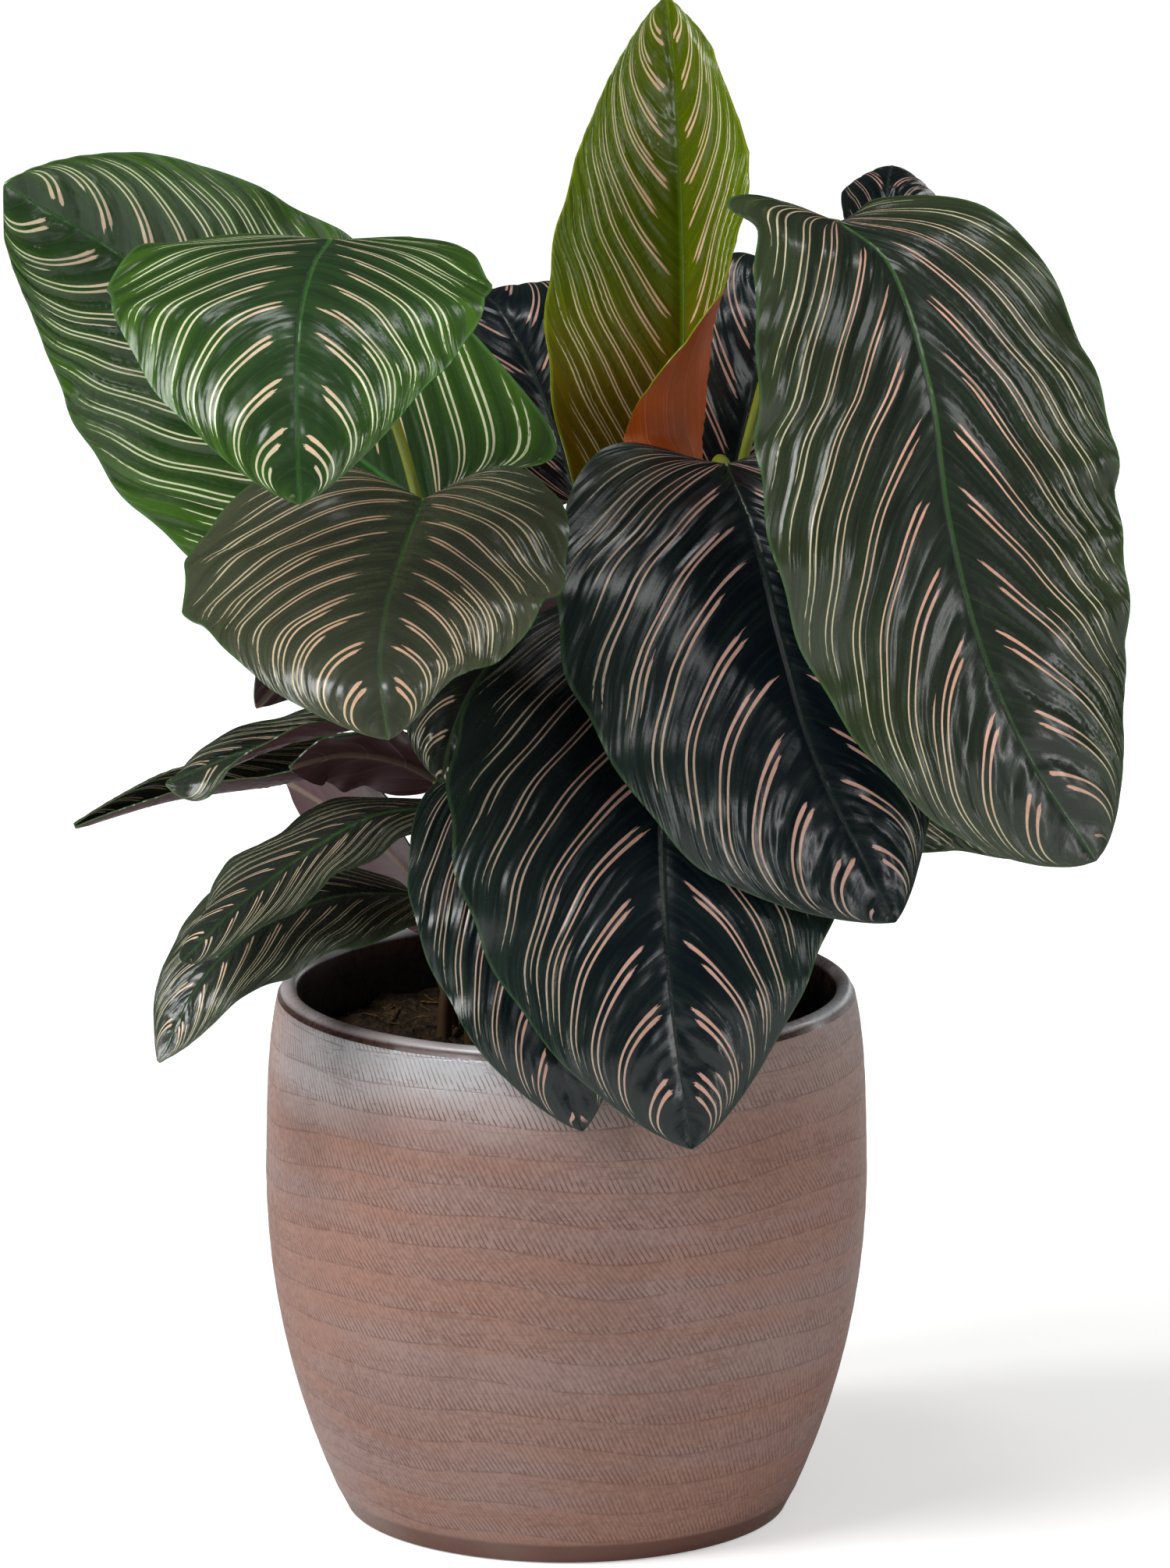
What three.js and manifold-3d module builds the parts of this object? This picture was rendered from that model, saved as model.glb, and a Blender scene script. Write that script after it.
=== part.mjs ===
// A potted pinstripe calathea: a combed ceramic cover pot, its soil, and broad leaves on long stalks.
// Millimetres, +Z up. The origin is the centre of the pot's flat bottom, on the surface it stands on.
// The front of the plant looks along -Y, and +X is its right-hand side.

import * as THREE from 'three';
import { mergeVertices } from 'three/addons/utils/BufferGeometryUtils.js';
import Module from 'manifold-3d';

const wasm = await Module();
wasm.setup();

// Driving dimensions
// Corners sit on this grid, so that faces meet in exactly the same corner
const GRID = 1 / 256;
const GAP = 0.3;

const POT = {
  height: 196,
  rimRadius: 104.3,
  mouthRadius: 98.2,
  bellyRadius: 110,
  bellyHeight: 128,
  footRadius: 81.5,
  footBand: 8,
  floor: 9,
  innerFootRadius: 74,
  segments: 40,
};

const SOIL = {
  edgeHeight: 171,
  crownRise: 10,
  crownRadius: 60,
  lumpHeight: 2.2,
  rings: 7,
  sectors: 30,
};

const BLADE = {
  thickness: 1.0,
  ribDepth: 2.2,
  ribBaseHalf: 2.8,
  ribTipHalf: 0.4,
  baseHalf: 2.4,
  tipHalf: 1.1,
  baseExponent: 0.5,
  tipExponent: 0.78,
  lobePlace: 0.06,
};

const STALK = {
  footRadius: 3.0,
  holeRadius: 4.1,
  holeSides: 8,
  midRadius: 2.0,
  jointRadius: 2.7,
  jointLength: 16,
  buried: 26,
  straight: 34,
  sides: 5,
  steps: 7,
  rise: 0.8,
};

const COLOURS = {
  pot: 0x96766c,
  soil: 0x3a2b1c,
  darkLeaf: 0x2b3830,
  greenLeaf: 0x4f6b3a,
  newLeaf: 0x8f9a4a,
  stalk: 0x75843f,
};

// The leaves
// midrib: points from the stalk's joint to the tip
// facing: which way the upper side looks, spread evenly from base to tip
// half: greatest half-width on the left and right, seen with the tip down and the upper side in front
// fold and curl: degrees for the left and the right half, positive towards the upper side, spread likewise
// lobe: how far the base lobes reach back on the left and right, as a share of the blade
// base: a broader base below 0.5; taper: a blunter tip below 0.78
// wave: height of the margin's waves, waves along the blade, and where they start in degrees
// foot: where the stalk leaves the soil; via: a point that the stalk passes
const LEAVES = {
  back_left: {
    midrib: [[-48, 18, 366], [-83, 26, 391], [-115, 28, 417], [-156, 19, 457], [-201, 9, 487]],
    facing: [[-0.1, -0.9, 0.4], [-0.1, -1, 0.2]],
    half: [64, 66], fold: [[8, 4], [8, 4]], curl: [[10, -10], [10, -10]],
    lobe: [0.17, 0.1], base: 0.32, taper: 0.66, wave: [3, 3, 20], colour: 'greenLeaf', foot: [-8, 10],
  },
  upper_left: {
    midrib: [[-83, -40, 475], [-88, -92, 472], [-91, -138, 458], [-91, -162, 432], [-90, -170, 404]],
    facing: [[0, -0.1, 1], [0, -0.2, 1], [0, -0.8, 0.6], [0, -1, 0.2]],
    half: [69, 63], fold: [[6, 1], [6, 0]], curl: [[-10, 0], [-20, -15]],
    lobe: [0.08, 0.08], wave: [3, 3, 200], colour: 'greenLeaf', foot: [-20, 4], via: [-56, 0, 385],
  },
  lower_left: {
    midrib: [[-51, -30, 380], [-57, -86, 372], [-62, -138, 360], [-63, -170, 346], [-60, -182, 325]],
    facing: [[0, -0.3, 1], [0, -0.3, 1], [0, -0.6, 0.8], [0, -1, 0.3]],
    half: [77, 59], fold: [[36, 34], [7, 8], [1, 0], [0, 0]],
    curl: [[-34, -14], [-28, -6], [-22, -12], [-20, -15]],
    lobe: [0.1, 0.1], wave: [4, 3, 60], colour: 'darkLeaf', foot: [-14, -16],
  },
  centre: {
    midrib: [[57, -25, 392], [67, -60, 372], [76, -90, 340], [88, -110, 302], [115, -122, 247]],
    facing: [[0, -0.5, 0.9], [0.1, -0.8, 0.6], [0.2, -1, 0.2]],
    half: [79, 60], fold: [[20, 8], [0, 0]], curl: [[-10, -20], [-15, -15]],
    lobe: [0.1, 0.1], wave: [4, 3, 140], colour: 'darkLeaf', foot: [20, -14],
  },
  front_hanging: {
    midrib: [[33, -42, 346], [35, -85, 312], [34, -116, 268], [37, -134, 225], [44, -140, 170]],
    facing: [[0, -0.6, 0.8], [0, -1, 0.4], [0, -1, 0]],
    half: [76, 68], fold: [[8, 0], [8, 0]], curl: [[-20, -15], [-20, -15]],
    lobe: [0.05, 0.05], wave: [4, 3, 250], colour: 'darkLeaf', foot: [8, -30],
  },
  front_low: {
    midrib: [[-29, -50, 285], [-20, -88, 262], [-11, -110, 230], [-4, -117, 202], [6, -119, 171]],
    facing: [[0, -0.6, 0.8], [-0.1, -1, 0.4], [-0.1, -1, 0]],
    half: [38, 42], fold: [[5, 0], [5, 0]], curl: [[-25, -15], [-15, -10]],
    lobe: [0.05, 0.05], wave: [3, 3, 10], colour: 'darkLeaf', foot: [-6, -34],
  },
  new_upright: {
    midrib: [[38, 34, 345], [41, 36, 385], [42, 38, 440], [41, 42, 480], [39, 42, 520], [36, 46, 550]],
    facing: [[0.1, -1, 0], [0.1, -1, 0.1], [0.15, -1, 0.1]],
    half: [60, 52], fold: [[38, 20], [44, 15], [62, 10], [66, 5], [66, 0]],
    curl: [[172, 20], [168, 10], [40, 0], [-10, 0], [-10, -10]],
    lobe: [0.05, 0.05], wave: [2, 3, 0], colour: 'newLeaf', foot: [14, 14],
  },
  large_right: {
    midrib: [[96, -38, 481], [113, -64, 470], [127, -92, 430], [133, -108, 388], [144, -118, 345],
      [160, -122, 308], [185, -118, 268]],
    facing: [[0, -0.3, 1], [0.1, -0.9, 0.5], [0.1, -1, 0.1], [0.2, -1, 0.1]],
    half: [64, 62], fold: [[30, 4], [8, 0], [6, 0], [6, 0]], curl: [[-12, -10], [-20, -10]],
    lobe: [0.17, 0.08], taper: 0.64, wave: [5, 4, 90], colour: 'darkLeaf', foot: [26, -4], via: [66, -8, 400],
  },
  behind_right: {
    midrib: [[114, 20, 461], [117, 50, 484], [120, 80, 483], [122, 104, 453], [123, 116, 409]],
    facing: [[0, 0.2, 1], [0.1, 0.4, 0.8], [0.1, 0.9, 0.2]],
    half: [23, 23], fold: [[-14, -14], [-22, -22]], curl: [[-50, -50], [-30, -30]],
    lobe: [0.06, 0.06], wave: [3, 3, 300], colour: 'darkLeaf', foot: [24, 17],
  },
  low_right: {
    midrib: [[70, -14, 285], [98, 0, 277], [124, 8, 270], [148, 12, 260], [169, 14, 239]],
    facing: [[0, -0.7, 0.7], [0.1, -0.9, 0.4]],
    half: [30, 30], fold: [[5, 0], [5, 0]], curl: [[-15, -10], [-15, -10]],
    lobe: [0.04, 0.04], wave: [2, 3, 30], colour: 'darkLeaf', foot: [32, -12],
  },
  behind_new: {
    midrib: [[4, 66, 362], [-12, 90, 404], [-28, 118, 428], [-44, 146, 424], [-56, 168, 404]],
    facing: [[0, -0.4, 1], [-0.2, 0.2, 1], [-0.3, 0.6, 0.8]],
    half: [44, 44], fold: [[5, 0], [5, 0]], curl: [[-15, -10], [-15, -10]],
    lobe: [0.05, 0.05], wave: [3, 3, 110], colour: 'darkLeaf', foot: [-4, 23],
  },
  behind_centre: {
    midrib: [[60, 58, 366], [67, 68, 398], [76, 87, 424], [87, 114, 438], [97, 140, 432]],
    facing: [[0.2, -0.9, 0.5], [0.2, -0.4, 1], [0.4, 0.3, 0.9]],
    half: [46, 40], fold: [[5, 0], [5, 0]], curl: [[-15, -10], [-15, -10]],
    lobe: [0.05, 0.05], wave: [3, 3, 210], colour: 'darkLeaf', foot: [10, 25],
  },
  left_rolled: {
    midrib: [[-47, 16, 279], [-77, 20, 273], [-106, 18, 267], [-144, 8, 263], [-178, -5, 255]],
    facing: [[0, -0.5, 0.9], [0, -0.5, 0.9]],
    half: [20, 20], fold: [[40, 20], [40, 20]], curl: [[110, 60], [110, 60]],
    lobe: [0, 0], wave: [0.6, 3, 0], colour: 'darkLeaf', foot: [-33, 11],
  },
  left_small: {
    midrib: [[-46, -16, 294], [-66, -22, 297], [-91, -32, 296], [-118, -48, 291], [-142, -60, 283]],
    facing: [[0, -0.6, 0.8], [0, -0.7, 0.7]],
    half: [9, 24], fold: [[10, 30], [10, 24]], curl: [[10, 70], [10, 60]],
    lobe: [0.03, 0.03], taper: 0.45, wave: [1.5, 3, 50], colour: 'darkLeaf', foot: [-28, -6],
  },
  left_drooping: {
    midrib: [[-42, -30, 268], [-68, -52, 270], [-94, -80, 261], [-118, -108, 247], [-134, -122, 233]],
    facing: [[-0.2, -0.3, 1], [-0.5, -0.5, 0.8]],
    half: [24, 15], fold: [[10, -30], [8, -30]], curl: [[-20, -20], [-20, -20]],
    lobe: [0.04, 0.04], taper: 0.5, wave: [2, 3, 150], colour: 'darkLeaf', foot: [-24, -24],
  },
  left_lowest: {
    midrib: [[-55, -30, 236], [-82, -52, 240], [-109, -74, 234], [-128, -90, 220], [-144, -99, 191]],
    facing: [[-0.1, -0.4, 0.9], [-0.6, -0.7, 0.4]],
    half: [29, 28], fold: [[6, 0], [6, 0]], curl: [[-14, -12], [-14, -12]],
    lobe: [0.04, 0.04], wave: [2, 3, 230], colour: 'darkLeaf', foot: [-34, -20],
  },
  left_underside: {
    midrib: [[-46, 16, 220], [-64, 39, 235], [-84, 58, 246], [-104, 72, 255]],
    facing: [[0.3, 0.7, 0.6], [0.3, 0.8, 0.4]],
    half: [33, 35], fold: [[5, 0], [5, 0]], curl: [[-15, -10], [-15, -10]],
    lobe: [0.04, 0.04], wave: [2, 3, 350], colour: 'darkLeaf', foot: [-42, 6],
  },
  left_tip: {
    midrib: [[-42, 44, 337], [-66, 54, 329], [-92, 60, 311], [-115, 62, 285]],
    facing: [[-0.3, 0.5, 0.8], [-0.5, 0.8, 0.4]],
    half: [28, 28], fold: [[6, 0], [6, 0]], curl: [[-18, -12], [-18, -12]],
    lobe: [0.04, 0.04], wave: [2, 3, 90], colour: 'darkLeaf', foot: [-17, 25], via: [-28, 43, 275],
  },
  inner_left: {
    midrib: [[-45, 8, 269], [-60, 2, 278], [-80, -8, 283], [-100, -18, 280]],
    facing: [[0, 0.6, 0.8], [0, 0.8, 0.6]],
    half: [24, 21], fold: [[5, 0], [5, 0]], curl: [[-15, -10], [-15, -10]],
    lobe: [0.04, 0.04], wave: [2, 3, 120], colour: 'darkLeaf', foot: [-44, -8],
  },
  inner_front: {
    midrib: [[-10, -28, 326], [-23, -46, 327], [-34, -60, 316], [-41, -69, 300], [-44, -73, 286]],
    facing: [[0, -0.3, 1], [-0.2, -0.8, 0.6], [-0.2, -1, 0.1]],
    half: [28, 26], fold: [[5, 0], [5, 0]], curl: [[-15, -10], [-15, -10]],
    lobe: [0.05, 0.05], wave: [2, 3, 200], colour: 'darkLeaf', foot: [-2, -22],
  },
  side_right: {
    midrib: [[104, 34, 366], [133, 48, 378], [161, 60, 368], [182, 68, 336], [191, 72, 294]],
    facing: [[0.3, 0, 1], [0.7, 0.3, 0.7], [1, 0.4, 0.1]],
    half: [46, 46], fold: [[6, 0], [6, 0]], curl: [[-15, -12], [-15, -12]],
    lobe: [0.06, 0.06], wave: [3, 3, 320], colour: 'darkLeaf', foot: [42, 14],
  },
  side_left: {
    midrib: [[-54, 68, 370], [-76, 86, 392], [-98, 106, 397], [-116, 124, 381], [-125, 134, 345]],
    facing: [[-0.3, 0, 1], [-0.6, 0.4, 0.8], [-0.9, 0.6, 0.1]],
    half: [38, 38], fold: [[6, 0], [6, 0]], curl: [[-15, -12], [-15, -12]],
    lobe: [0.06, 0.06], wave: [3, 3, 80], colour: 'darkLeaf', foot: [-10, 46], via: [-23, 50, 312],
  },
  rear_left: {
    midrib: [[-44, 80, 346], [-66, 114, 352], [-84, 146, 338], [-96, 166, 306], [-102, 176, 266]],
    facing: [[-0.2, 0.2, 1], [-0.4, 0.7, 0.7], [-0.6, 0.9, 0.1]],
    half: [46, 46], fold: [[6, 0], [6, 0]], curl: [[-15, -12], [-15, -12]],
    lobe: [0.06, 0.06], wave: [3, 3, 130], colour: 'darkLeaf', foot: [-20, 36],
  },
  rear_middle: {
    midrib: [[6, 84, 336], [6, 122, 340], [4, 156, 320], [4, 176, 284], [6, 184, 240]],
    facing: [[0, 0.2, 1], [0, 0.7, 0.7], [0, 1, 0.1]],
    half: [54, 54], fold: [[6, 0], [6, 0]], curl: [[-15, -12], [-15, -12]],
    lobe: [0.06, 0.06], wave: [3, 3, 40], colour: 'darkLeaf', foot: [2, 34],
  },
  rear_right: {
    midrib: [[70, 66, 330], [98, 96, 334], [126, 124, 316], [144, 142, 280], [154, 150, 238]],
    facing: [[0.2, 0.2, 1], [0.5, 0.6, 0.7], [0.7, 0.8, 0.1]],
    half: [50, 50], fold: [[6, 0], [6, 0]], curl: [[-15, -12], [-15, -12]],
    lobe: [0.06, 0.06], wave: [3, 3, 260], colour: 'darkLeaf', foot: [24, 28],
  },
};

const degrees = (angle) => THREE.MathUtils.degToRad(angle);

function vector(values) {
  return new THREE.Vector3(...values);
}

// Flat x, y, z numbers of a list of points
function corners(points) {
  return points.flatMap((point) => point.toArray().map((value) => Math.round(value / GRID) * GRID));
}

// Vectors, or pairs of numbers, spread evenly along a blade and read at a place from 0 to 1
function along(list, place) {
  const position = place * (list.length - 1);
  const index = Math.min(Math.floor(position), list.length - 2);
  return list[index].clone().lerp(list[index + 1], position - index);
}

function alongNumbers(list, place, hand) {
  const pairs = list.map((pair) => new THREE.Vector2(...pair));
  return along(pairs, place).getComponent(hand);
}

// A closed solid between two grids of points of the same size
function gridSolid(upper, lower) {
  const rows = upper.length;
  const columns = upper[0].length;
  const positions = corners([...upper.flat(), ...lower.flat()]);
  const index = [];
  const top = (row, column) => row * columns + column;
  const bottom = (row, column) => rows * columns + top(row, column);
  for (let row = 0; row < rows - 1; row += 1) {
    for (let column = 0; column < columns - 1; column += 1) {
      const [a, b] = [[row, column], [row, column + 1]];
      const [c, d] = [[row + 1, column], [row + 1, column + 1]];
      index.push(top(...a), top(...d), top(...b), top(...a), top(...c), top(...d));
      index.push(bottom(...a), bottom(...b), bottom(...d), bottom(...a), bottom(...d), bottom(...c));
    }
  }
  const wall = (from, to) => {
    index.push(top(...from), top(...to), bottom(...to), top(...from), bottom(...to), bottom(...from));
  };
  for (let column = 0; column < columns - 1; column += 1) {
    wall([0, column], [0, column + 1]);
    wall([rows - 1, column + 1], [rows - 1, column]);
  }
  for (let row = 0; row < rows - 1; row += 1) {
    wall([row + 1, 0], [row, 0]);
    wall([row, columns - 1], [row + 1, columns - 1]);
  }
  const geometry = new THREE.BufferGeometry();
  geometry.setAttribute('position', new THREE.Float32BufferAttribute(positions, 3));
  geometry.setIndex(index);
  geometry.computeVertexNormals();
  return geometry;
}

function toSolid(geometry) {
  const plain = geometry.clone();
  plain.deleteAttribute('normal');
  plain.deleteAttribute('uv');
  const merged = mergeVertices(plain, 1e-4);
  return new wasm.Manifold(new wasm.Mesh({
    numProp: 3,
    vertProperties: new Float32Array(merged.attributes.position.array),
    triVerts: new Uint32Array(merged.index.array),
  }));
}

function toGeometry(solid) {
  const mesh = solid.getMesh();
  const geometry = new THREE.BufferGeometry();
  geometry.setAttribute('position', new THREE.BufferAttribute(mesh.vertProperties, 3));
  geometry.setIndex(new THREE.BufferAttribute(mesh.triVerts, 1));
  geometry.computeVertexNormals();
  return geometry;
}

// The blade's frame and surface

function makeBlade(leaf) {
  const curve = new THREE.CatmullRomCurve3(leaf.midrib.map(vector), false, 'centripetal');
  curve.arcLengthDivisions = 80;
  const facings = leaf.facing.map(vector);
  return { leaf, curve, facings, length: curve.getLength() };
}

function bladeFrame(blade, place) {
  const tangent = blade.curve.getTangentAt(place);
  const normal = along(blade.facings, place);
  normal.addScaledVector(tangent, -normal.dot(tangent)).normalize();
  const side = new THREE.Vector3().crossVectors(normal, tangent);
  return { centre: blade.curve.getPointAt(place), tangent, normal, side };
}

function profile(place, baseExponent, tipExponent) {
  const widest = baseExponent / (baseExponent + tipExponent);
  const width = (at) => at ** baseExponent * (1 - at) ** tipExponent;
  return width(place) / width(widest);
}

function halfWidth(leaf, place, hand) {
  const stub = THREE.MathUtils.lerp(BLADE.baseHalf, BLADE.tipHalf, place);
  const share = profile(place, leaf.base || BLADE.baseExponent, leaf.taper || BLADE.tipExponent);
  return Math.hypot(stub, leaf.half[hand] * share);
}

// A point of the upper side: place runs from base to tip, across from -1 at the left margin to 1
function bladePoint(blade, place, across) {
  const { leaf } = blade;
  const { centre, tangent, normal, side } = bladeFrame(blade, place);
  const hand = across < 0 ? 0 : 1;
  const reach = Math.abs(across);
  const half = halfWidth(leaf, place, hand);
  const fold = degrees(alongNumbers(leaf.fold, place, hand));
  const bend = degrees(alongNumbers(leaf.curl, place, hand));
  const curl = Math.abs(bend) < 0.01 ? 0.01 : bend;
  const out = half * (Math.sin(fold + curl * reach) - Math.sin(fold)) / curl;
  const up = half * (Math.cos(fold) - Math.cos(fold + curl * reach)) / curl;
  const [height, count, start] = leaf.wave;
  const phase = 2 * Math.PI * count * place + degrees(start) + 2 * hand;
  const wave = height * reach ** 2 * Math.sin(Math.PI * place) * Math.sin(phase);
  const near = place / BLADE.lobePlace;
  const back = leaf.lobe[hand] * blade.length * near * Math.exp(1 - near) * reach ** 2;
  return centre
    .addScaledVector(side, Math.sign(across) * out)
    .addScaledVector(normal, up + wave)
    .addScaledVector(tangent, -back);
}

// The way the upper side faces at a point, from its neighbours
function bladeNormal(blade, place, across) {
  const step = 0.01;
  const [low, high] = [Math.max(place - step, 0), Math.min(place + step, 1)];
  const [left, right] = [Math.max(across - 5 * step, -1), Math.min(across + 5 * step, 1)];
  const lengthwise = bladePoint(blade, high, across).sub(bladePoint(blade, low, across));
  const crosswise = bladePoint(blade, place, right).sub(bladePoint(blade, place, left));
  return lengthwise.cross(crosswise).normalize();
}

function bladeGeometry(blade) {
  const large = Math.max(...blade.leaf.half) > 40;
  const outer = large ? [0.36, 0.7, 1] : [0.5, 1];
  const rows = Math.max(8, Math.round(blade.length / 17));
  const upper = [];
  const lower = [];
  for (let row = 0; row <= rows; row += 1) {
    const even = row / rows;
    const place = 0.5 * even + 0.25 * (1 - Math.cos(Math.PI * even));
    const ribWidth = THREE.MathUtils.lerp(BLADE.ribBaseHalf, BLADE.ribTipHalf, place);
    const narrow = Math.min(halfWidth(blade.leaf, place, 0), halfWidth(blade.leaf, place, 1));
    const ribEdge = Math.min(0.5 * outer[0], ribWidth / narrow);
    const right = [ribEdge, ...outer];
    const columns = [...right.map((across) => -across).reverse(), 0, ...right];
    const points = columns.map((across) => bladePoint(blade, place, across));
    upper.push(points);
    lower.push(points.map((point, column) => {
      const rib = columns[column] === 0 ? BLADE.ribDepth * (1 - 0.8 * place) : 0;
      const normal = bladeNormal(blade, place, columns[column]);
      return point.clone().addScaledVector(normal, -(BLADE.thickness + rib));
    }));
  }
  return gridSolid(upper, lower);
}

// A stalk: buried foot, long sweep and swollen joint just short of the blade

function stalkPath(blade) {
  const { leaf } = blade;
  const { centre, tangent, normal } = bladeFrame(blade, 0);
  const baseDepth = 0.5 * (BLADE.thickness + BLADE.ribDepth);
  const rise = tangent.clone().addScaledVector(normal, STALK.rise).normalize();
  const end = centre.clone()
    .addScaledVector(normal, -baseDepth)
    .addScaledVector(rise, -GAP - baseDepth * normal.dot(rise));
  const joint = end.clone().addScaledVector(rise, -STALK.jointLength);
  const soilTop = SOIL.edgeHeight + SOIL.crownRise;
  const foot = new THREE.Vector3(leaf.foot[0], leaf.foot[1], soilTop);
  const via = leaf.via ? vector(leaf.via) : foot.clone().lerp(joint, 0.55).setZ(
    THREE.MathUtils.lerp(foot.z, joint.z, 0.6),
  );
  const lean = via.clone().sub(foot).normalize();
  lean.z += 1.5;
  lean.normalize();
  const bottom = foot.clone().addScaledVector(lean, -STALK.buried);
  const above = foot.clone().addScaledVector(lean, STALK.straight - STALK.buried);
  return { lean, bottom, points: [bottom, foot, above, via, joint, end] };
}

function stalkGeometry(blade) {
  const path = stalkPath(blade);
  const curve = new THREE.CatmullRomCurve3(path.points, false, 'centripetal');
  const length = curve.getLength();
  const places = [];
  for (let step = 0; step < STALK.steps; step += 1) {
    places.push(step / STALK.steps * (1 - STALK.jointLength / length));
  }
  places.push(1 - STALK.jointLength / length, 1 - STALK.jointLength * 0.5 / length, 1);
  const points = [];
  const index = [];
  const reference = new THREE.Vector3(0, 1, 0);
  places.forEach((place, ring) => {
    const centre = curve.getPointAt(place);
    const tangent = curve.getTangentAt(place);
    const across = new THREE.Vector3().crossVectors(tangent, reference).normalize();
    reference.crossVectors(across, tangent).normalize();
    const thin = THREE.MathUtils.lerp(STALK.footRadius, STALK.midRadius, Math.min(1, place * 1.6));
    const radius = ring >= places.length - 2 ? STALK.jointRadius : thin;
    for (let side = 0; side < STALK.sides; side += 1) {
      const angle = 2 * Math.PI * side / STALK.sides;
      points.push(centre.clone()
        .addScaledVector(across, radius * Math.cos(angle))
        .addScaledVector(reference, radius * Math.sin(angle)));
    }
  });
  const rings = places.length;
  for (let ring = 0; ring < rings - 1; ring += 1) {
    for (let side = 0; side < STALK.sides; side += 1) {
      const next = (side + 1) % STALK.sides;
      const [a, b] = [ring * STALK.sides + side, ring * STALK.sides + next];
      const [c, d] = [a + STALK.sides, b + STALK.sides];
      index.push(a, d, b, a, c, d);
    }
  }
  const last = (rings - 1) * STALK.sides;
  for (let side = 1; side < STALK.sides - 1; side += 1) {
    index.push(0, side, side + 1);
    index.push(last, last + side + 1, last + side);
  }
  const geometry = new THREE.BufferGeometry();
  geometry.setAttribute('position', new THREE.Float32BufferAttribute(corners(points), 3));
  geometry.setIndex(index);
  geometry.computeVertexNormals();
  return geometry;
}

// The pot's outer radius at a height: an upright band at the foot, a full belly, a slight draw-in at the rim
function potRadius(height) {
  const { footRadius, bellyRadius, bellyHeight, rimRadius } = POT;
  if (height < bellyHeight) {
    const down = (bellyHeight - height) / bellyHeight;
    return bellyRadius - (bellyRadius - footRadius) * down ** 2.1;
  }
  const up = (height - bellyHeight) / (POT.height - bellyHeight);
  return bellyRadius - (bellyRadius - rimRadius) * (0.25 * up + 0.75 * up ** 4);
}

function innerRadius(height) {
  const up = (height - POT.floor) / (POT.height - POT.floor);
  return POT.innerFootRadius + (POT.mouthRadius - POT.innerFootRadius) * Math.min(1, up * 1.25) ** 0.8;
}

function potGeometry() {
  const points = [new THREE.Vector2(0, 0), new THREE.Vector2(POT.footRadius - 1.5, 0)];
  points.push(new THREE.Vector2(POT.footRadius, 1.5));
  const heights = [POT.footBand, 24, 44, 66, 90, POT.bellyHeight, 156, 180, POT.height - 1.8];
  heights.forEach((height) => points.push(new THREE.Vector2(potRadius(height), height)));
  points.push(new THREE.Vector2(POT.rimRadius - 1.6, POT.height));
  points.push(new THREE.Vector2(POT.mouthRadius + 1.4, POT.height));
  points.push(new THREE.Vector2(POT.mouthRadius, POT.height - 1.6));
  [150, 110, 60, 24].forEach((height) => points.push(new THREE.Vector2(innerRadius(height), height)));
  points.push(new THREE.Vector2(POT.innerFootRadius, POT.floor));
  points.push(new THREE.Vector2(0, POT.floor));
  const geometry = new THREE.LatheGeometry(points, POT.segments);
  geometry.rotateX(Math.PI / 2);
  return geometry;
}

// Soil height: a low heap at the crown with lumps, level at the wall
function soilHeight(x, y) {
  const fromCentre = Math.hypot(x, y) / SOIL.crownRadius;
  const heap = SOIL.crownRise * Math.exp(-(fromCentre ** 2));
  const lumps = Math.sin(x * 0.21 + 1.3 * Math.sin(y * 0.13)) * Math.sin(y * 0.24 + 0.8 * Math.sin(x * 0.17));
  return SOIL.edgeHeight + heap + SOIL.lumpHeight * lumps;
}

function soilGeometry(blades) {
  const heights = [POT.floor + GAP, 24, 60, 110, 150, SOIL.edgeHeight - 6];
  const points = [new THREE.Vector2(0, heights[0])];
  heights.forEach((height) => points.push(new THREE.Vector2(innerRadius(height) - 1.5, height)));
  const edge = innerRadius(SOIL.edgeHeight) - 1.5;
  for (let ring = SOIL.rings; ring >= 0; ring -= 1) {
    points.push(new THREE.Vector2(edge * ring / SOIL.rings, SOIL.edgeHeight));
  }
  const body = new THREE.LatheGeometry(points, SOIL.sectors);
  body.rotateX(Math.PI / 2);
  const position = body.attributes.position;
  for (let vertex = 0; vertex < position.count; vertex += 1) {
    if (position.getZ(vertex) > SOIL.edgeHeight - 1) {
      position.setZ(vertex, soilHeight(position.getX(vertex), position.getY(vertex)));
    }
  }
  let solid = toSolid(body);
  blades.forEach((blade) => {
    const { lean, bottom } = stalkPath(blade);
    const depth = STALK.straight + GAP;
    const hole = new THREE.CylinderGeometry(STALK.holeRadius, STALK.holeRadius, depth, STALK.holeSides);
    const turn = new THREE.Quaternion().setFromUnitVectors(new THREE.Vector3(0, 1, 0), lean);
    hole.applyQuaternion(turn);
    const middle = bottom.clone().addScaledVector(lean, depth / 2 - GAP);
    hole.translate(middle.x, middle.y, middle.z);
    solid = solid.subtract(toSolid(hole));
  });
  return toGeometry(solid);
}

function addMesh(group, name, geometry, colour, roughness) {
  const material = new THREE.MeshStandardMaterial({ color: COLOURS[colour], roughness, metalness: 0 });
  const mesh = new THREE.Mesh(geometry, material);
  mesh.name = name;
  group.add(mesh);
}

const plant = new THREE.Group();
const blades = Object.values(LEAVES).map(makeBlade);

addMesh(plant, 'pot', potGeometry(), 'pot', 0.55);
addMesh(plant, 'soil', soilGeometry(blades), 'soil', 0.95);
Object.keys(LEAVES).forEach((name, number) => {
  const blade = blades[number];
  addMesh(plant, `leaf_${name}`, bladeGeometry(blade), blade.leaf.colour, 0.4);
  addMesh(plant, `stalk_${name}`, stalkGeometry(blade), 'stalk', 0.5);
});

export default plant;
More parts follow.
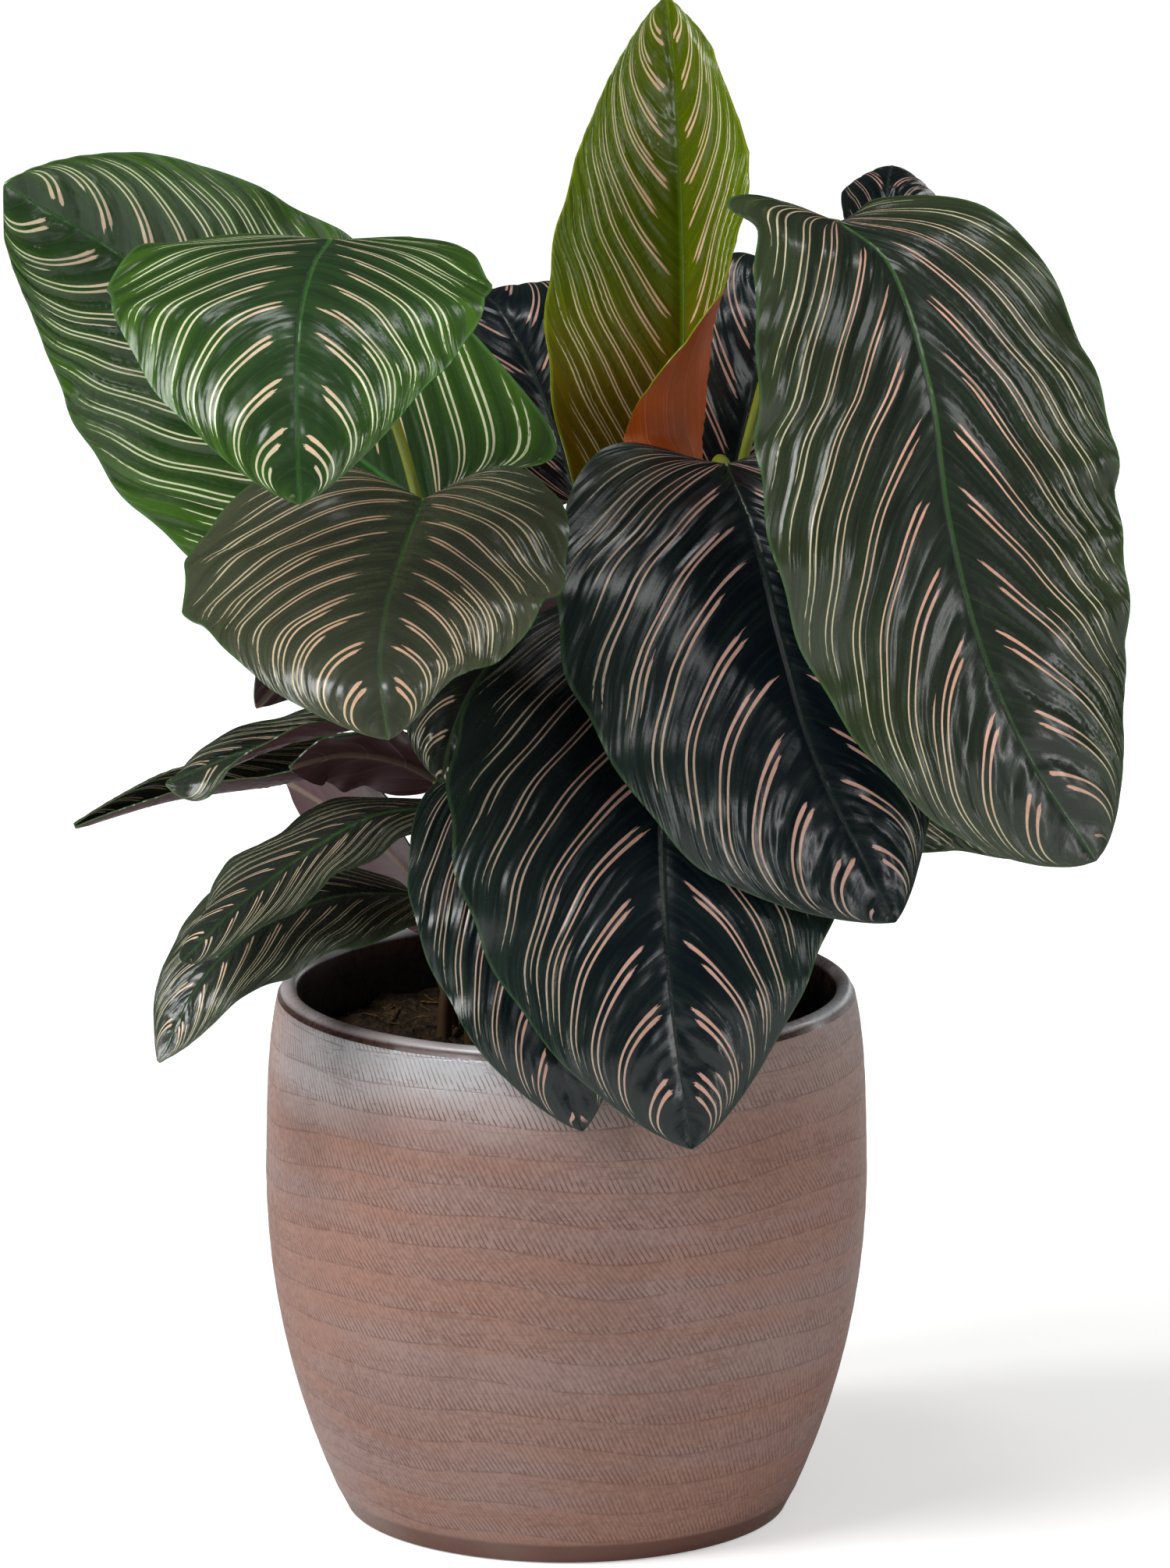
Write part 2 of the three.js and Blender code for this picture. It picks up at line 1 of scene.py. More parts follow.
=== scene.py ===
"""A potted pinstripe calathea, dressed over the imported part: leaf blades, stalks, soil and combed pot.

The tables are in millimetres, in the part's own frame: +Z up, and the front of the plant looks along -Y.
"""

import math

import bpy
import numpy as np
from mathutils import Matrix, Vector


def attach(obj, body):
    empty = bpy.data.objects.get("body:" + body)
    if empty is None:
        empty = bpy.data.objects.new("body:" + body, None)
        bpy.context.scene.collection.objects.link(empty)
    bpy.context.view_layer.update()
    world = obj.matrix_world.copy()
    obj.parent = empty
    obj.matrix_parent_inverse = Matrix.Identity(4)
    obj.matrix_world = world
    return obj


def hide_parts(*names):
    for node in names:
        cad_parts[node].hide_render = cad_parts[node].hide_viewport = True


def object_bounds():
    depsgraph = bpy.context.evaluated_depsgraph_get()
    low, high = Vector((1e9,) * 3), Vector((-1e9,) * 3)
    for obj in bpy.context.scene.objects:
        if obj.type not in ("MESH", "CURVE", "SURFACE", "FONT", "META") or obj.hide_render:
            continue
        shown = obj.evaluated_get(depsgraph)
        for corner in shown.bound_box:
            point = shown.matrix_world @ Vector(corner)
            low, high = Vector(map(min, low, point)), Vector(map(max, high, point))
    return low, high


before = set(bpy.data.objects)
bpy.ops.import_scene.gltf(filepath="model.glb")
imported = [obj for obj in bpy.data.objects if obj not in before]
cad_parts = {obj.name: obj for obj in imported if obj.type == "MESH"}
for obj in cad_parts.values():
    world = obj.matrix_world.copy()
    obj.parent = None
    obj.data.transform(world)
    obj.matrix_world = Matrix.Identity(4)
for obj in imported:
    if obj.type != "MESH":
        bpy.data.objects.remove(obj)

bl_info = {
    "name": "Potted Calathea",
    "version": (1, 0, 0),
    "blender": (4, 5, 0),
    "location": "3D View > Sidebar > Calathea",
    "description": "Makes the leaves, stalks, soil and combed pot of a pinstripe calathea",
    "category": "Add Mesh",
}

MM = 0.001
CAD_BOX = [list(corner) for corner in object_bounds()]

# Leaf blades, with the same figures as the part's solids
# midrib: points from the stalk's joint to the tip; facing: which way the upper side looks, base to tip
# foot: where the stalk leaves the soil; via: a point that it passes, where it isn't the usual one
# half: greatest half-width on the left and right; wave: height, count and start in degrees of the waves
# fold and curl: degrees on the left and right, one pair for the whole blade or several from base to tip
# lobe: how far the base lobes reach back, as a share of the blade; base and taper: how blunt the ends are
USUAL = {"fold": (5, 0), "curl": (-15, -10), "lobe": (0.05, 0.05), "base": 0.5, "taper": 0.78}
REAR = {"fold": (6, 0), "curl": (-15, -12), "lobe": (0.06, 0.06)}
LEAVES = {
    "back_left": {
        "midrib": ((-48, 18, 366), (-83, 26, 391), (-115, 28, 417), (-156, 19, 457), (-201, 9, 487)),
        "facing": ((-0.1, -0.9, 0.4), (-0.1, -1, 0.2)),
        "kind": "green", "foot": (-8, 10), "half": (64, 66), "wave": (3, 3, 20), "fold": (8, 4),
        "curl": (10, -10), "lobe": (0.17, 0.1), "base": 0.32, "taper": 0.66,
    },
    "upper_left": {
        "midrib": ((-83, -40, 475), (-88, -92, 472), (-91, -138, 458), (-91, -162, 432), (-90, -170, 404)),
        "facing": ((0, -0.1, 1), (0, -0.2, 1), (0, -0.8, 0.6), (0, -1, 0.2)),
        "kind": "green", "foot": (-20, 4), "via": (-56, 0, 385), "half": (69, 63), "wave": (3, 3, 200),
        "fold": ((6, 1), (6, 0)), "curl": ((-10, 0), (-20, -15)), "lobe": (0.08, 0.08),
    },
    "lower_left": {
        "midrib": ((-51, -30, 380), (-57, -86, 372), (-62, -138, 360), (-63, -170, 346), (-60, -182, 325)),
        "facing": ((0, -0.3, 1), (0, -0.3, 1), (0, -0.6, 0.8), (0, -1, 0.3)),
        "kind": "dull", "foot": (-14, -16), "half": (77, 59), "wave": (4, 3, 60),
        "fold": ((36, 34), (7, 8), (1, 0), (0, 0)),
        "curl": ((-34, -14), (-28, -6), (-22, -12), (-20, -15)), "lobe": (0.1, 0.1),
    },
    "centre": {
        "midrib": ((57, -25, 392), (67, -60, 372), (76, -90, 340), (88, -110, 302), (115, -122, 247)),
        "facing": ((0, -0.5, 0.9), (0.1, -0.8, 0.6), (0.2, -1, 0.2)),
        "kind": "dark", "foot": (20, -14), "half": (79, 60), "wave": (4, 3, 140),
        "fold": ((20, 8), (0, 0)), "curl": ((-10, -20), (-15, -15)), "lobe": (0.1, 0.1),
    },
    "front_hanging": {
        "midrib": ((33, -42, 346), (35, -85, 312), (34, -116, 268), (37, -134, 225), (44, -140, 170)),
        "facing": ((0, -0.6, 0.8), (0, -1, 0.4), (0, -1, 0)),
        "kind": "dark", "foot": (8, -30), "half": (76, 68), "wave": (4, 3, 250), "fold": (8, 0),
        "curl": (-20, -15),
    },
    "front_low": {
        "midrib": ((-29, -50, 285), (-20, -88, 262), (-11, -110, 230), (-4, -117, 202), (6, -119, 171)),
        "facing": ((0, -0.6, 0.8), (-0.1, -1, 0.4), (-0.1, -1, 0)),
        "kind": "dark", "foot": (-6, -34), "half": (38, 42), "wave": (3, 3, 10),
        "curl": ((-25, -15), (-15, -10)),
    },
    "new_upright": {
        "midrib": ((38, 34, 345), (41, 36, 385), (42, 38, 440), (41, 42, 480), (39, 42, 520),
            (36, 46, 550)),
        "facing": ((0.1, -1, 0), (0.1, -1, 0.1), (0.15, -1, 0.1)),
        "kind": "new", "foot": (14, 14), "half": (60, 52), "wave": (2, 3, 0),
        "fold": ((38, 20), (44, 15), (62, 10), (66, 5), (66, 0)),
        "curl": ((172, 20), (168, 10), (40, 0), (-10, 0), (-10, -10)),
    },
    "large_right": {
        "midrib": ((96, -38, 481), (113, -64, 470), (127, -92, 430), (133, -108, 388), (144, -118, 345),
            (160, -122, 308), (185, -118, 268)),
        "facing": ((0, -0.3, 1), (0.1, -0.9, 0.5), (0.1, -1, 0.1), (0.2, -1, 0.1)),
        "kind": "moss", "foot": (26, -4), "via": (66, -8, 400), "half": (64, 62), "wave": (5, 4, 90),
        "fold": ((30, 4), (8, 0), (6, 0), (6, 0)), "curl": ((-12, -10), (-20, -10)), "lobe": (0.17, 0.08),
        "taper": 0.64,
    },
    "behind_right": {
        "midrib": ((114, 20, 461), (117, 50, 484), (120, 80, 483), (122, 104, 453), (123, 116, 409)),
        "facing": ((0, 0.2, 1), (0.1, 0.4, 0.8), (0.1, 0.9, 0.2)),
        "kind": "dark", "foot": (24, 17), "half": (23, 23), "wave": (3, 3, 300),
        "fold": ((-14, -14), (-22, -22)), "curl": ((-50, -50), (-30, -30)), "lobe": (0.06, 0.06),
    },
    "low_right": {
        "midrib": ((70, -14, 285), (98, 0, 277), (124, 8, 270), (148, 12, 260), (169, 14, 239)),
        "facing": ((0, -0.7, 0.7), (0.1, -0.9, 0.4)),
        "kind": "moss", "foot": (32, -12), "half": (30, 30), "wave": (2, 3, 30), "lobe": (0.04, 0.04),
    },
    "behind_new": {
        "midrib": ((4, 66, 362), (-12, 90, 404), (-28, 118, 428), (-44, 146, 424), (-56, 168, 404)),
        "facing": ((0, -0.4, 1), (-0.2, 0.2, 1), (-0.3, 0.6, 0.8)),
        "kind": "dark", "foot": (-4, 23), "half": (44, 44), "wave": (3, 3, 110),
    },
    "behind_centre": {
        "midrib": ((60, 58, 366), (67, 68, 398), (76, 87, 424), (87, 114, 438), (97, 140, 432)),
        "facing": ((0.2, -0.9, 0.5), (0.2, -0.4, 1), (0.4, 0.3, 0.9)),
        "kind": "dark", "foot": (10, 25), "half": (46, 40), "wave": (3, 3, 210),
    },
    "left_rolled": {
        "midrib": ((-47, 16, 279), (-77, 20, 273), (-106, 18, 267), (-144, 8, 263), (-178, -5, 255)),
        "facing": (0, -0.5, 0.9),
        "kind": "low", "foot": (-33, 11), "half": (20, 20), "wave": (0.6, 3, 0), "fold": (40, 20),
        "curl": (110, 60), "lobe": (0, 0),
    },
    "left_small": {
        "midrib": ((-46, -16, 294), (-66, -22, 297), (-91, -32, 296), (-118, -48, 291), (-142, -60, 283)),
        "facing": ((0, -0.6, 0.8), (0, -0.7, 0.7)),
        "kind": "low", "foot": (-28, -6), "half": (9, 24), "wave": (1.5, 3, 50),
        "fold": ((10, 30), (10, 24)), "curl": ((10, 70), (10, 60)), "lobe": (0.03, 0.03), "taper": 0.45,
    },
    "left_drooping": {
        "midrib": ((-42, -30, 268), (-68, -52, 270), (-94, -80, 261), (-118, -108, 247), (-134, -122, 233)),
        "facing": ((-0.2, -0.3, 1), (-0.5, -0.5, 0.8)),
        "kind": "low", "foot": (-24, -24), "half": (24, 15), "wave": (2, 3, 150),
        "fold": ((10, -30), (8, -30)), "curl": (-20, -20), "lobe": (0.04, 0.04), "taper": 0.5,
    },
    "left_lowest": {
        "midrib": ((-55, -30, 236), (-82, -52, 240), (-109, -74, 234), (-128, -90, 220), (-144, -99, 191)),
        "facing": ((-0.1, -0.4, 0.9), (-0.6, -0.7, 0.4)),
        "kind": "low", "foot": (-34, -20), "half": (29, 28), "wave": (2, 3, 230), "fold": (6, 0),
        "curl": (-14, -12), "lobe": (0.04, 0.04),
    },
    "left_underside": {
        "midrib": ((-46, 16, 220), (-64, 39, 235), (-84, 58, 246), (-104, 72, 255)),
        "facing": ((0.3, 0.7, 0.6), (0.3, 0.8, 0.4)),
        "kind": "dark", "foot": (-42, 6), "half": (33, 35), "wave": (2, 3, 350), "lobe": (0.04, 0.04),
    },
    "left_tip": {
        "midrib": ((-42, 44, 337), (-66, 54, 329), (-92, 60, 311), (-115, 62, 285)),
        "facing": ((-0.3, 0.5, 0.8), (-0.5, 0.8, 0.4)),
        "kind": "dark", "foot": (-17, 25), "via": (-28, 43, 275), "half": (28, 28), "wave": (2, 3, 90),
        "fold": (6, 0), "curl": (-18, -12), "lobe": (0.04, 0.04),
    },
    "inner_left": {
        "midrib": ((-45, 8, 269), (-60, 2, 278), (-80, -8, 283), (-100, -18, 280)),
        "facing": ((0, 0.6, 0.8), (0, 0.8, 0.6)),
        "kind": "dark", "foot": (-44, -8), "half": (24, 21), "wave": (2, 3, 120), "lobe": (0.04, 0.04),
    },
    "inner_front": {
        "midrib": ((-10, -28, 326), (-23, -46, 327), (-34, -60, 316), (-41, -69, 300), (-44, -73, 286)),
        "facing": ((0, -0.3, 1), (-0.2, -0.8, 0.6), (-0.2, -1, 0.1)),
        "kind": "low", "foot": (-2, -22), "half": (28, 26), "wave": (2, 3, 200),
    },
    "side_right": {
        "midrib": ((104, 34, 366), (133, 48, 378), (161, 60, 368), (182, 68, 336), (191, 72, 294)),
        "facing": ((0.3, 0, 1), (0.7, 0.3, 0.7), (1, 0.4, 0.1)),
        "kind": "moss", "foot": (42, 14), "half": (46, 46), "wave": (3, 3, 320), **REAR,
    },
    "side_left": {
        "midrib": ((-54, 68, 370), (-76, 86, 392), (-98, 106, 397), (-116, 124, 381), (-125, 134, 345)),
        "facing": ((-0.3, 0, 1), (-0.6, 0.4, 0.8), (-0.9, 0.6, 0.1)),
        "kind": "dark", "foot": (-10, 46), "via": (-23, 50, 312), "half": (38, 38), "wave": (3, 3, 80),
        **REAR,
    },
    "rear_left": {
        "midrib": ((-44, 80, 346), (-66, 114, 352), (-84, 146, 338), (-96, 166, 306), (-102, 176, 266)),
        "facing": ((-0.2, 0.2, 1), (-0.4, 0.7, 0.7), (-0.6, 0.9, 0.1)),
        "kind": "low", "foot": (-20, 36), "half": (46, 46), "wave": (3, 3, 130), **REAR,
    },
    "rear_middle": {
        "midrib": ((6, 84, 336), (6, 122, 340), (4, 156, 320), (4, 176, 284), (6, 184, 240)),
        "facing": ((0, 0.2, 1), (0, 0.7, 0.7), (0, 1, 0.1)),
        "kind": "dark", "foot": (2, 34), "half": (54, 54), "wave": (3, 3, 40), **REAR,
    },
    "rear_right": {
        "midrib": ((70, 66, 330), (98, 96, 334), (126, 124, 316), (144, 142, 280), (154, 150, 238)),
        "facing": ((0.2, 0.2, 1), (0.5, 0.6, 0.7), (0.7, 0.8, 0.1)),
        "kind": "moss", "foot": (24, 28), "half": (50, 50), "wave": (3, 3, 260), **REAR,
    },
}

# How far each blade swells between its side veins, where it isn't the usual height
PLEATS = {
    "large_right": 2.2, "centre": 0.9, "front_hanging": 0.9, "lower_left": 1.0, "upper_left": 1.1,
    "back_left": 2.2, "new_upright": 1.8,
}

# Margins that roll over: hand, place along the blade, length of the roll, where it starts across, degrees
ROLLS = {
    "new_upright": ((0, 0.925, 0.028, 0.72, -70),),
    "left_small": ((0, 0.97, 0.10, 0.1, -80), (1, 0.97, 0.10, 0.1, -80)),
    "left_lowest": ((1, 0.55, 0.2, 0.8, -60),),
    "left_drooping": ((0, 0.9, 0.12, 0.5, -70),),
    "large_right": ((0, 0.10, 0.07, 0.72, -110),),
    "centre": ((1, 0.75, 0.12, 0.85, 50),),
}

# For each kind of leaf: distance between side veins on the midrib, stripe width, base colours, line
# colours, inner and outer colour of its stripes, how far out they turn, how much shade is painted into
# the valleys between the pleats, and the slot
KINDS = {
    "dark": (20.5, 0.90, "dark", "dark", "rose", "grey", 1.3, 0.3, "dark_leaf"),
    "moss": (26.0, 0.92, "moss", "moss", "pink", "pale", 1.0, 0.3, "dark_leaf"),
    "dull": (16.5, 0.80, "dull", "moss", "tan", "pale", 1.2, 0.25, "dark_leaf"),
    "low": (13.0, 0.58, "low", "moss", "cream", "pale", 0.9, 0.3, "dark_leaf"),
    "green": (18.0, 0.86, "green", "green", "cream", "mint", 0.8, 0.6, "green_leaf"),
    "new": (15.5, 0.80, "new", "new", "tan", "pale", 1.1, 0.25, "new_leaf"),
}

BLADE_BASE_HALF = 2.4
BLADE_TIP_HALF = 0.35
BLADE_BASE_DEPTH = 1.6
LOBE_PLACE = 0.06
SCALLOP_LENGTH = 31
SCALLOP_DEPTH = 0.014
VEIN_ARCH = 1.25
TIP_CROWDING = 0.06
RIB_GROOVE = 0.5
RIB_GROOVE_WIDTH = 2.0
RIB_WIDTH = 1.5

# Rows of a blade's grid and columns on each hand, for blades with a half-width over and up to WIDE_BLADE
WIDE_BLADE = 40
WIDE_GRID = (112, 27)
NARROW_GRID = (72, 18)

STALK_BURIED = 26.0
STALK_ABOVE = 8.0
STALK_JOINT = 16.0
STALK_GAP = 0.3
STALK_END_RADIUS = 3.0
STALK_GRID = (64, 14)

POT_HEIGHT = 196.0
POT_BELLY = 110.0
POT_BELLY_HEIGHT = 128.0
POT_FOOT = 81.5
POT_FOOT_BAND = 8.0
POT_RIM = 104.3
POT_MOUTH = 98.2
POT_FLOOR = 9.0
POT_INNER_FOOT = 74.0
POT_SIDES = 300
# Centre of the thick grey glaze below the rim, with a painted highlight where the light from the left glints
GLAZE_AND_HIGHLIGHT_SPOT = (-0.05, -0.09, 0.172)

SOIL_TOP = 181.0
SOIL_EDGE = 171.0
SOIL_GRID = (60, 120)
FIBRE_GRID = (8, 4)

# Softboxes, all aimed at the plant's middle: place and size in metres, power in watts
LIGHTS = {
    "key": ((-1.5, -1.25, 2.0), (1.0, 1.2), 52),
    "window": ((-2.05, -0.45, 1.45), (0.45, 0.7), 24),
    "side": ((1.27, -2.04, 0.4), (0.16, 0.9), 9),
    "high": ((1.15, -0.95, 2.2), (0.8, 0.9), 11),
    "edge": ((1.7, 0.9, 0.8), (0.25, 1.2), 5),
    "top": ((0.2, 0.5, 2.4), (0.5, 0.35), 5),
    "back": ((1.2, 2.0, 0.45), (1.1, 0.5), 3),
}
FLOOR_RADIUS = 9
PLANT_MIDDLE = (0, 0, 0.3)
CAMERA_TARGET = (0.00676, 0, 0.2695)


def srgb(red, green, blue):
    """A colour picked as 0 to 255 on screen, as Blender's linear values"""
    shares = (value / 255 for value in (red, green, blue))
    return tuple(v / 12.92 if v <= 0.04045 else ((v + 0.055) / 1.055) ** 2.4 for v in shares)


def shaded(colour, share):
    """A colour with only a share of its light"""
    return tuple(share * value for value in colour)


def colour_setting(name, description, *screen):
    return bpy.props.FloatVectorProperty(
        name=name, description=description, subtype="COLOR", size=3, min=0, max=1, default=srgb(*screen)
    )


def length_setting(name, description, millimetres):
    return bpy.props.FloatProperty(
        name=name, description=description, unit="LENGTH", precision=5, min=0, default=millimetres * MM
    )


def share_setting(name, description, value):
    return bpy.props.FloatProperty(
        name=name, description=description, subtype="FACTOR", min=0, max=1, default=value
    )


def count_setting(name, description, number):
    return bpy.props.IntProperty(name=name, description=description, min=1, default=number)


# Colours of the kinds of leaf, as 0 to 255 on screen, in the order of LEAF_PARTS
LEAF_COLOURS = {
    "dark": ((5, 14, 20), (20, 32, 28), (44, 66, 40), (26, 42, 32)),
    "moss": ((30, 37, 30), (45, 54, 33), (58, 84, 46), (58, 92, 44)),
    "dull": ((50, 53, 42), (64, 67, 50)),
    "low": ((38, 43, 38), (58, 64, 51)),
    "green": ((37, 60, 30), (56, 88, 22), (66, 104, 50), (56, 104, 44)),
    "new": ((66, 80, 0), (78, 98, 0), (122, 132, 10), (104, 134, 14)),
}
LEAF_PARTS = {
    "near": "beside the midrib",
    "far": "towards the margin",
    "margin": "in the thin line round the blade",
    "midrib": "along the midrib",
}


class LeafSettings(bpy.types.PropertyGroup):
    thickness: length_setting("Thickness", "Thickness of a blade away from its midrib", 0.6)
    pleat: length_setting("Pleat", "How far a blade swells between two side veins", 0.6)
    rib: length_setting("Midrib", "How far the midrib stands out below", 1.6)
    gloss: share_setting("Roughness", "Roughness of the upper side", 0.20)
    new_low: colour_setting("New leaf, base", "Lower part of the new leaf", 100, 74, 0)
    pink: colour_setting("Pink stripe", "Inner end of the mossy leaves' pinstripes", 210, 160, 140)
    rose: colour_setting("Rose stripe", "Inner end of the dark leaves' pinstripes", 184, 144, 129)
    tan: colour_setting("Tan stripe", "Inner end of the grey leaves' pinstripes", 198, 160, 132)
    cream: colour_setting("Cream stripe", "Inner end of the green leaves' pinstripes", 210, 182, 154)
    pale: colour_setting("Pale stripe", "Outer end of the pinstripes", 192, 190, 156)
    mint: colour_setting("Mint stripe", "Outer end of the green leaves' pinstripes", 205, 211, 176)
    grey: colour_setting("Grey stripe", "Outer end of the dark leaves' pinstripes", 156, 152, 132)
    below: colour_setting("Underside", "Underside of the mature leaves", 72, 46, 50)
    below_new: colour_setting("New underside", "Underside of the new leaf", 186, 84, 4)
    below_rose: colour_setting("New underside, rose", "Low corner of the new leaf's underside", 196, 92, 84)
    rib_below: colour_setting("Midrib below", "Midrib on the undersides", 112, 96, 78)


for kind, colours in LEAF_COLOURS.items():
    for (part, where), screen in zip(LEAF_PARTS.items(), colours):
        LeafSettings.__annotations__[f"{kind}_{part}"] = colour_setting(
            f"{kind} {part}".capitalize(), f"Colour of the {kind} leaves {where}", *screen
        )


class StalkSettings(bpy.types.PropertyGroup):
    foot: length_setting("Foot radius", "Radius of the sheath at the soil", 3.4)
    middle: length_setting("Middle radius", "Radius halfway up", 2.1)
    joint: length_setting("Joint radius", "Radius of the swollen joint below a blade", 2.7)
    green: colour_setting("Green", "Upper part of the stalks", 112, 122, 24)
    brown: colour_setting("Brown", "Foot of the stalks", 84, 62, 36)
    pale: colour_setting("Joint", "Swollen joint below a blade", 120, 130, 40)


class SoilSettings(bpy.types.PropertyGroup):
    lumps: length_setting("Lumps", "Height of the coarse lumps", 2.2)
    dark: colour_setting("Dark", "Moist potting mix", 26, 20, 13)
    light: colour_setting("Light", "Dry crumbs", 72, 55, 32)
    fibre: colour_setting("Fibres", "Bits of coir and root", 116, 88, 42)
    fibres: count_setting("Fibres", "How many fibres lie on the soil", 260)


class PotSettings(bpy.types.PropertyGroup):
    ribs: count_setting("Ribs", "Combed marks round the belly", 330)
    band: length_setting("Band", "Height of one combed band", 12)
    swell: length_setting("Swell", "How far a combed band stands out", 0.16)
    rib: colour_setting("Rib", "Glaze between the marks", 138, 113, 106)
    groove: colour_setting("Groove", "Clay in the marks", 90, 54, 40)
    warm: colour_setting("Warm glaze", "Redder areas of the glaze", 141, 103, 89)
    # Also the colour of the painted highlight below the rim at the upper left
    pale: colour_setting("Pale glaze", "Thick grey glaze near the rim", 180, 184, 188)
    foot: colour_setting("Foot", "Bare clay of the foot band", 116, 92, 82)
    # Inside: near-black, painted shade down inside the pot over its glaze
    inside: colour_setting("Inside", "Glaze of the inner wall", 14, 19, 23)


class StageSettings(bpy.types.PropertyGroup):
    distance: length_setting("Distance", "Camera to the plant's middle", 3000)
    elevation: bpy.props.FloatProperty(
        name="Elevation", description="Camera above the horizon", subtype="ANGLE", default=math.radians(12.43)
    )
    lens: bpy.props.FloatProperty(name="Lens", description="Focal length in millimetres", default=190.01)
    floor: colour_setting("Floor", "Plain pale floor", 244, 244, 243)


# Shader nodes


def feed(socket, value):
    """Links the value if it is a socket, or sets it"""
    if isinstance(value, bpy.types.NodeSocket):
        socket.id_data.links.new(value, socket)
    elif value is not None:
        if socket.type == "RGBA" and len(value) == 3:
            value = (*value, 1.0)
        socket.default_value = value


def shared_tree(values):
    """The node tree that the sockets among some values belong to"""
    return next(value.id_data for value in values if isinstance(value, bpy.types.NodeSocket))


def place_node(kind, *values, tree=None, **options):
    """Adds a shader node, sets its options and feeds its inputs in their order"""
    made = (tree or shared_tree(values)).nodes.new("ShaderNode" + kind)
    for name, option in options.items():
        setattr(made, name, option)
    for socket, value in zip([s for s in made.inputs if s.enabled], values):
        feed(socket, value)
    return made


def first_output(made):
    return next(socket for socket in made.outputs if socket.enabled)


def maths(operation, *values):
    return first_output(place_node("Math", *values, operation=operation))


def plus(first, second):
    return maths("ADD", first, second)


def minus(first, second):
    return maths("SUBTRACT", first, second)


def times(first, second):
    return maths("MULTIPLY", first, second)


def scaled(value, factor, offset=0.0):
    return maths("MULTIPLY_ADD", value, factor, offset)


def off_half(value):
    """How far a value is from a half"""
    return maths("ABSOLUTE", scaled(value, 1.0, -0.5))


def mixed(share, first, second):
    return first_output(place_node("Mix", share, first, second, data_type="RGBA"))


def eased(value, low, high, to_low=0.0, to_high=1.0):
    """The value's place between low and high, eased at both ends"""
    return first_output(
        place_node("MapRange", value, low, high, to_low, to_high, interpolation_type="SMOOTHSTEP")
    )


def combined(x, y, z=0.0):
    return first_output(place_node("CombineXYZ", x, y, z))


def stretched(vector, upward):
    """A vector with its height scaled, for features that lie flat round the pot"""
    return place_node("VectorMath", vector, (1.0, 1.0, upward), operation="MULTIPLY").outputs["Vector"]


def noise(vector, scale, detail=2.0, roughness=0.5):
    """A smooth noise value at a vector"""
    return place_node("TexNoise", vector, scale, detail, roughness).outputs["Fac"]


def grained(first, first_scale, second, second_scale, detail=1.0, roughness=0.5):
    """A smooth noise value over two numbers, each with its own scale"""
    place = combined(scaled(first, first_scale), scaled(second, second_scale))
    return noise(place, 1.0, detail, roughness)


def dice(x, y):
    """Three random values for a pair of whole numbers"""
    made = place_node("TexWhiteNoise", combined(x, y), noise_dimensions="2D")
    return tuple(place_node("SeparateColor", made.outputs["Color"]).outputs)


def new_group(name, given, results):
    """An empty node group with named inputs and outputs"""
    tree = bpy.data.node_groups.new(name, "ShaderNodeTree")
    for label, kind, default in given:
        socket = tree.interface.new_socket(name=label, in_out="INPUT", socket_type="NodeSocket" + kind)
        if default is not None:
            socket.default_value = default
    for label, kind in results:
        tree.interface.new_socket(name=label, in_out="OUTPUT", socket_type="NodeSocket" + kind)
    start = tree.nodes.new("NodeGroupInput")
    end = tree.nodes.new("NodeGroupOutput")
    return start.outputs, end.inputs


def place_group(name, **values):
    """Puts a node group in the tree that its values belong to, and feeds its inputs by name"""
    made = shared_tree(values.values()).nodes.new("ShaderNodeGroup")
    made.node_tree = bpy.data.node_groups[name]
    for label, value in values.items():
        feed(made.inputs[label], value)
    return made.outputs


def new_material(name, **constants):
    """A material with a Principled BSDF, and the constants set on the shader's own sockets"""
    material = bpy.data.materials.new(name)
    material.use_nodes = True
    tree = material.node_tree
    tree.nodes.clear()
    shader = tree.nodes.new("ShaderNodeBsdfPrincipled")
    output = tree.nodes.new("ShaderNodeOutputMaterial")
    tree.links.new(shader.outputs["BSDF"], output.inputs["Surface"])
    for label, value in constants.items():
        shader.inputs[label.replace("_", " ")].default_value = value
    return material, tree, shader.inputs


def bump(height, strength, distance, normal=None):
    made = place_node("Bump", tree=height.id_data)
    given = {"Height": height, "Strength": strength, "Distance": distance, "Normal": normal}
    for label, value in given.items():
        feed(made.inputs[label], value)
    return made.outputs["Normal"]


def uv_parts(tree, name):
    """The two numbers of a named UV map"""
    split = place_node("SeparateXYZ", place_node("UVMap", tree=tree, uv_map=name).outputs["UV"])
    return split.outputs["X"], split.outputs["Y"]


def own_place(tree):
    return place_node("TexCoord", tree=tree).outputs["Object"]


def speckled(place, coarse, fine):
    return place_group("Speckle", Vector=place, Coarse=coarse, Fine=fine)["Value"]


def paint(shader, colour, roughness, normal):
    for label, value in (("Base Color", colour), ("Roughness", roughness), ("Normal", normal)):
        feed(shader[label], value)


def make_pinstripe_group():
    """One stripe: a club at the inner end, even further out, with a fading outer end"""
    given = (
        ("Across", "Float", 0.5), ("Reach", "Float", 0.5), ("Place", "Float", 0.5),
        ("Start", "Float", 0.1), ("End", "Float", 0.9), ("Width", "Float", 0.08),
    )
    source, result = new_group("Pinstripe", given, (("Stripe", "Float"),))
    distance = maths("ABSOLUTE", minus(source["Across"], source["Place"]))
    since = minus(source["Reach"], source["Start"])
    left = minus(source["End"], source["Reach"])
    club = eased(since, 0.02, 0.34, 1.0, 0.62)
    nose = eased(since, 0.0, 0.05, 0.3, 1.0)
    tail = eased(left, 0.0, 0.12, 0.45, 1.0)
    shape = times(times(club, nose), tail)
    width = times(source["Width"], shape)
    body = eased(minus(width, distance), -0.006, 0.010)
    ends = times(eased(since, 0.0, 0.012), eased(left, 0.0, 0.015))
    feed(result["Stripe"], times(body, ends))


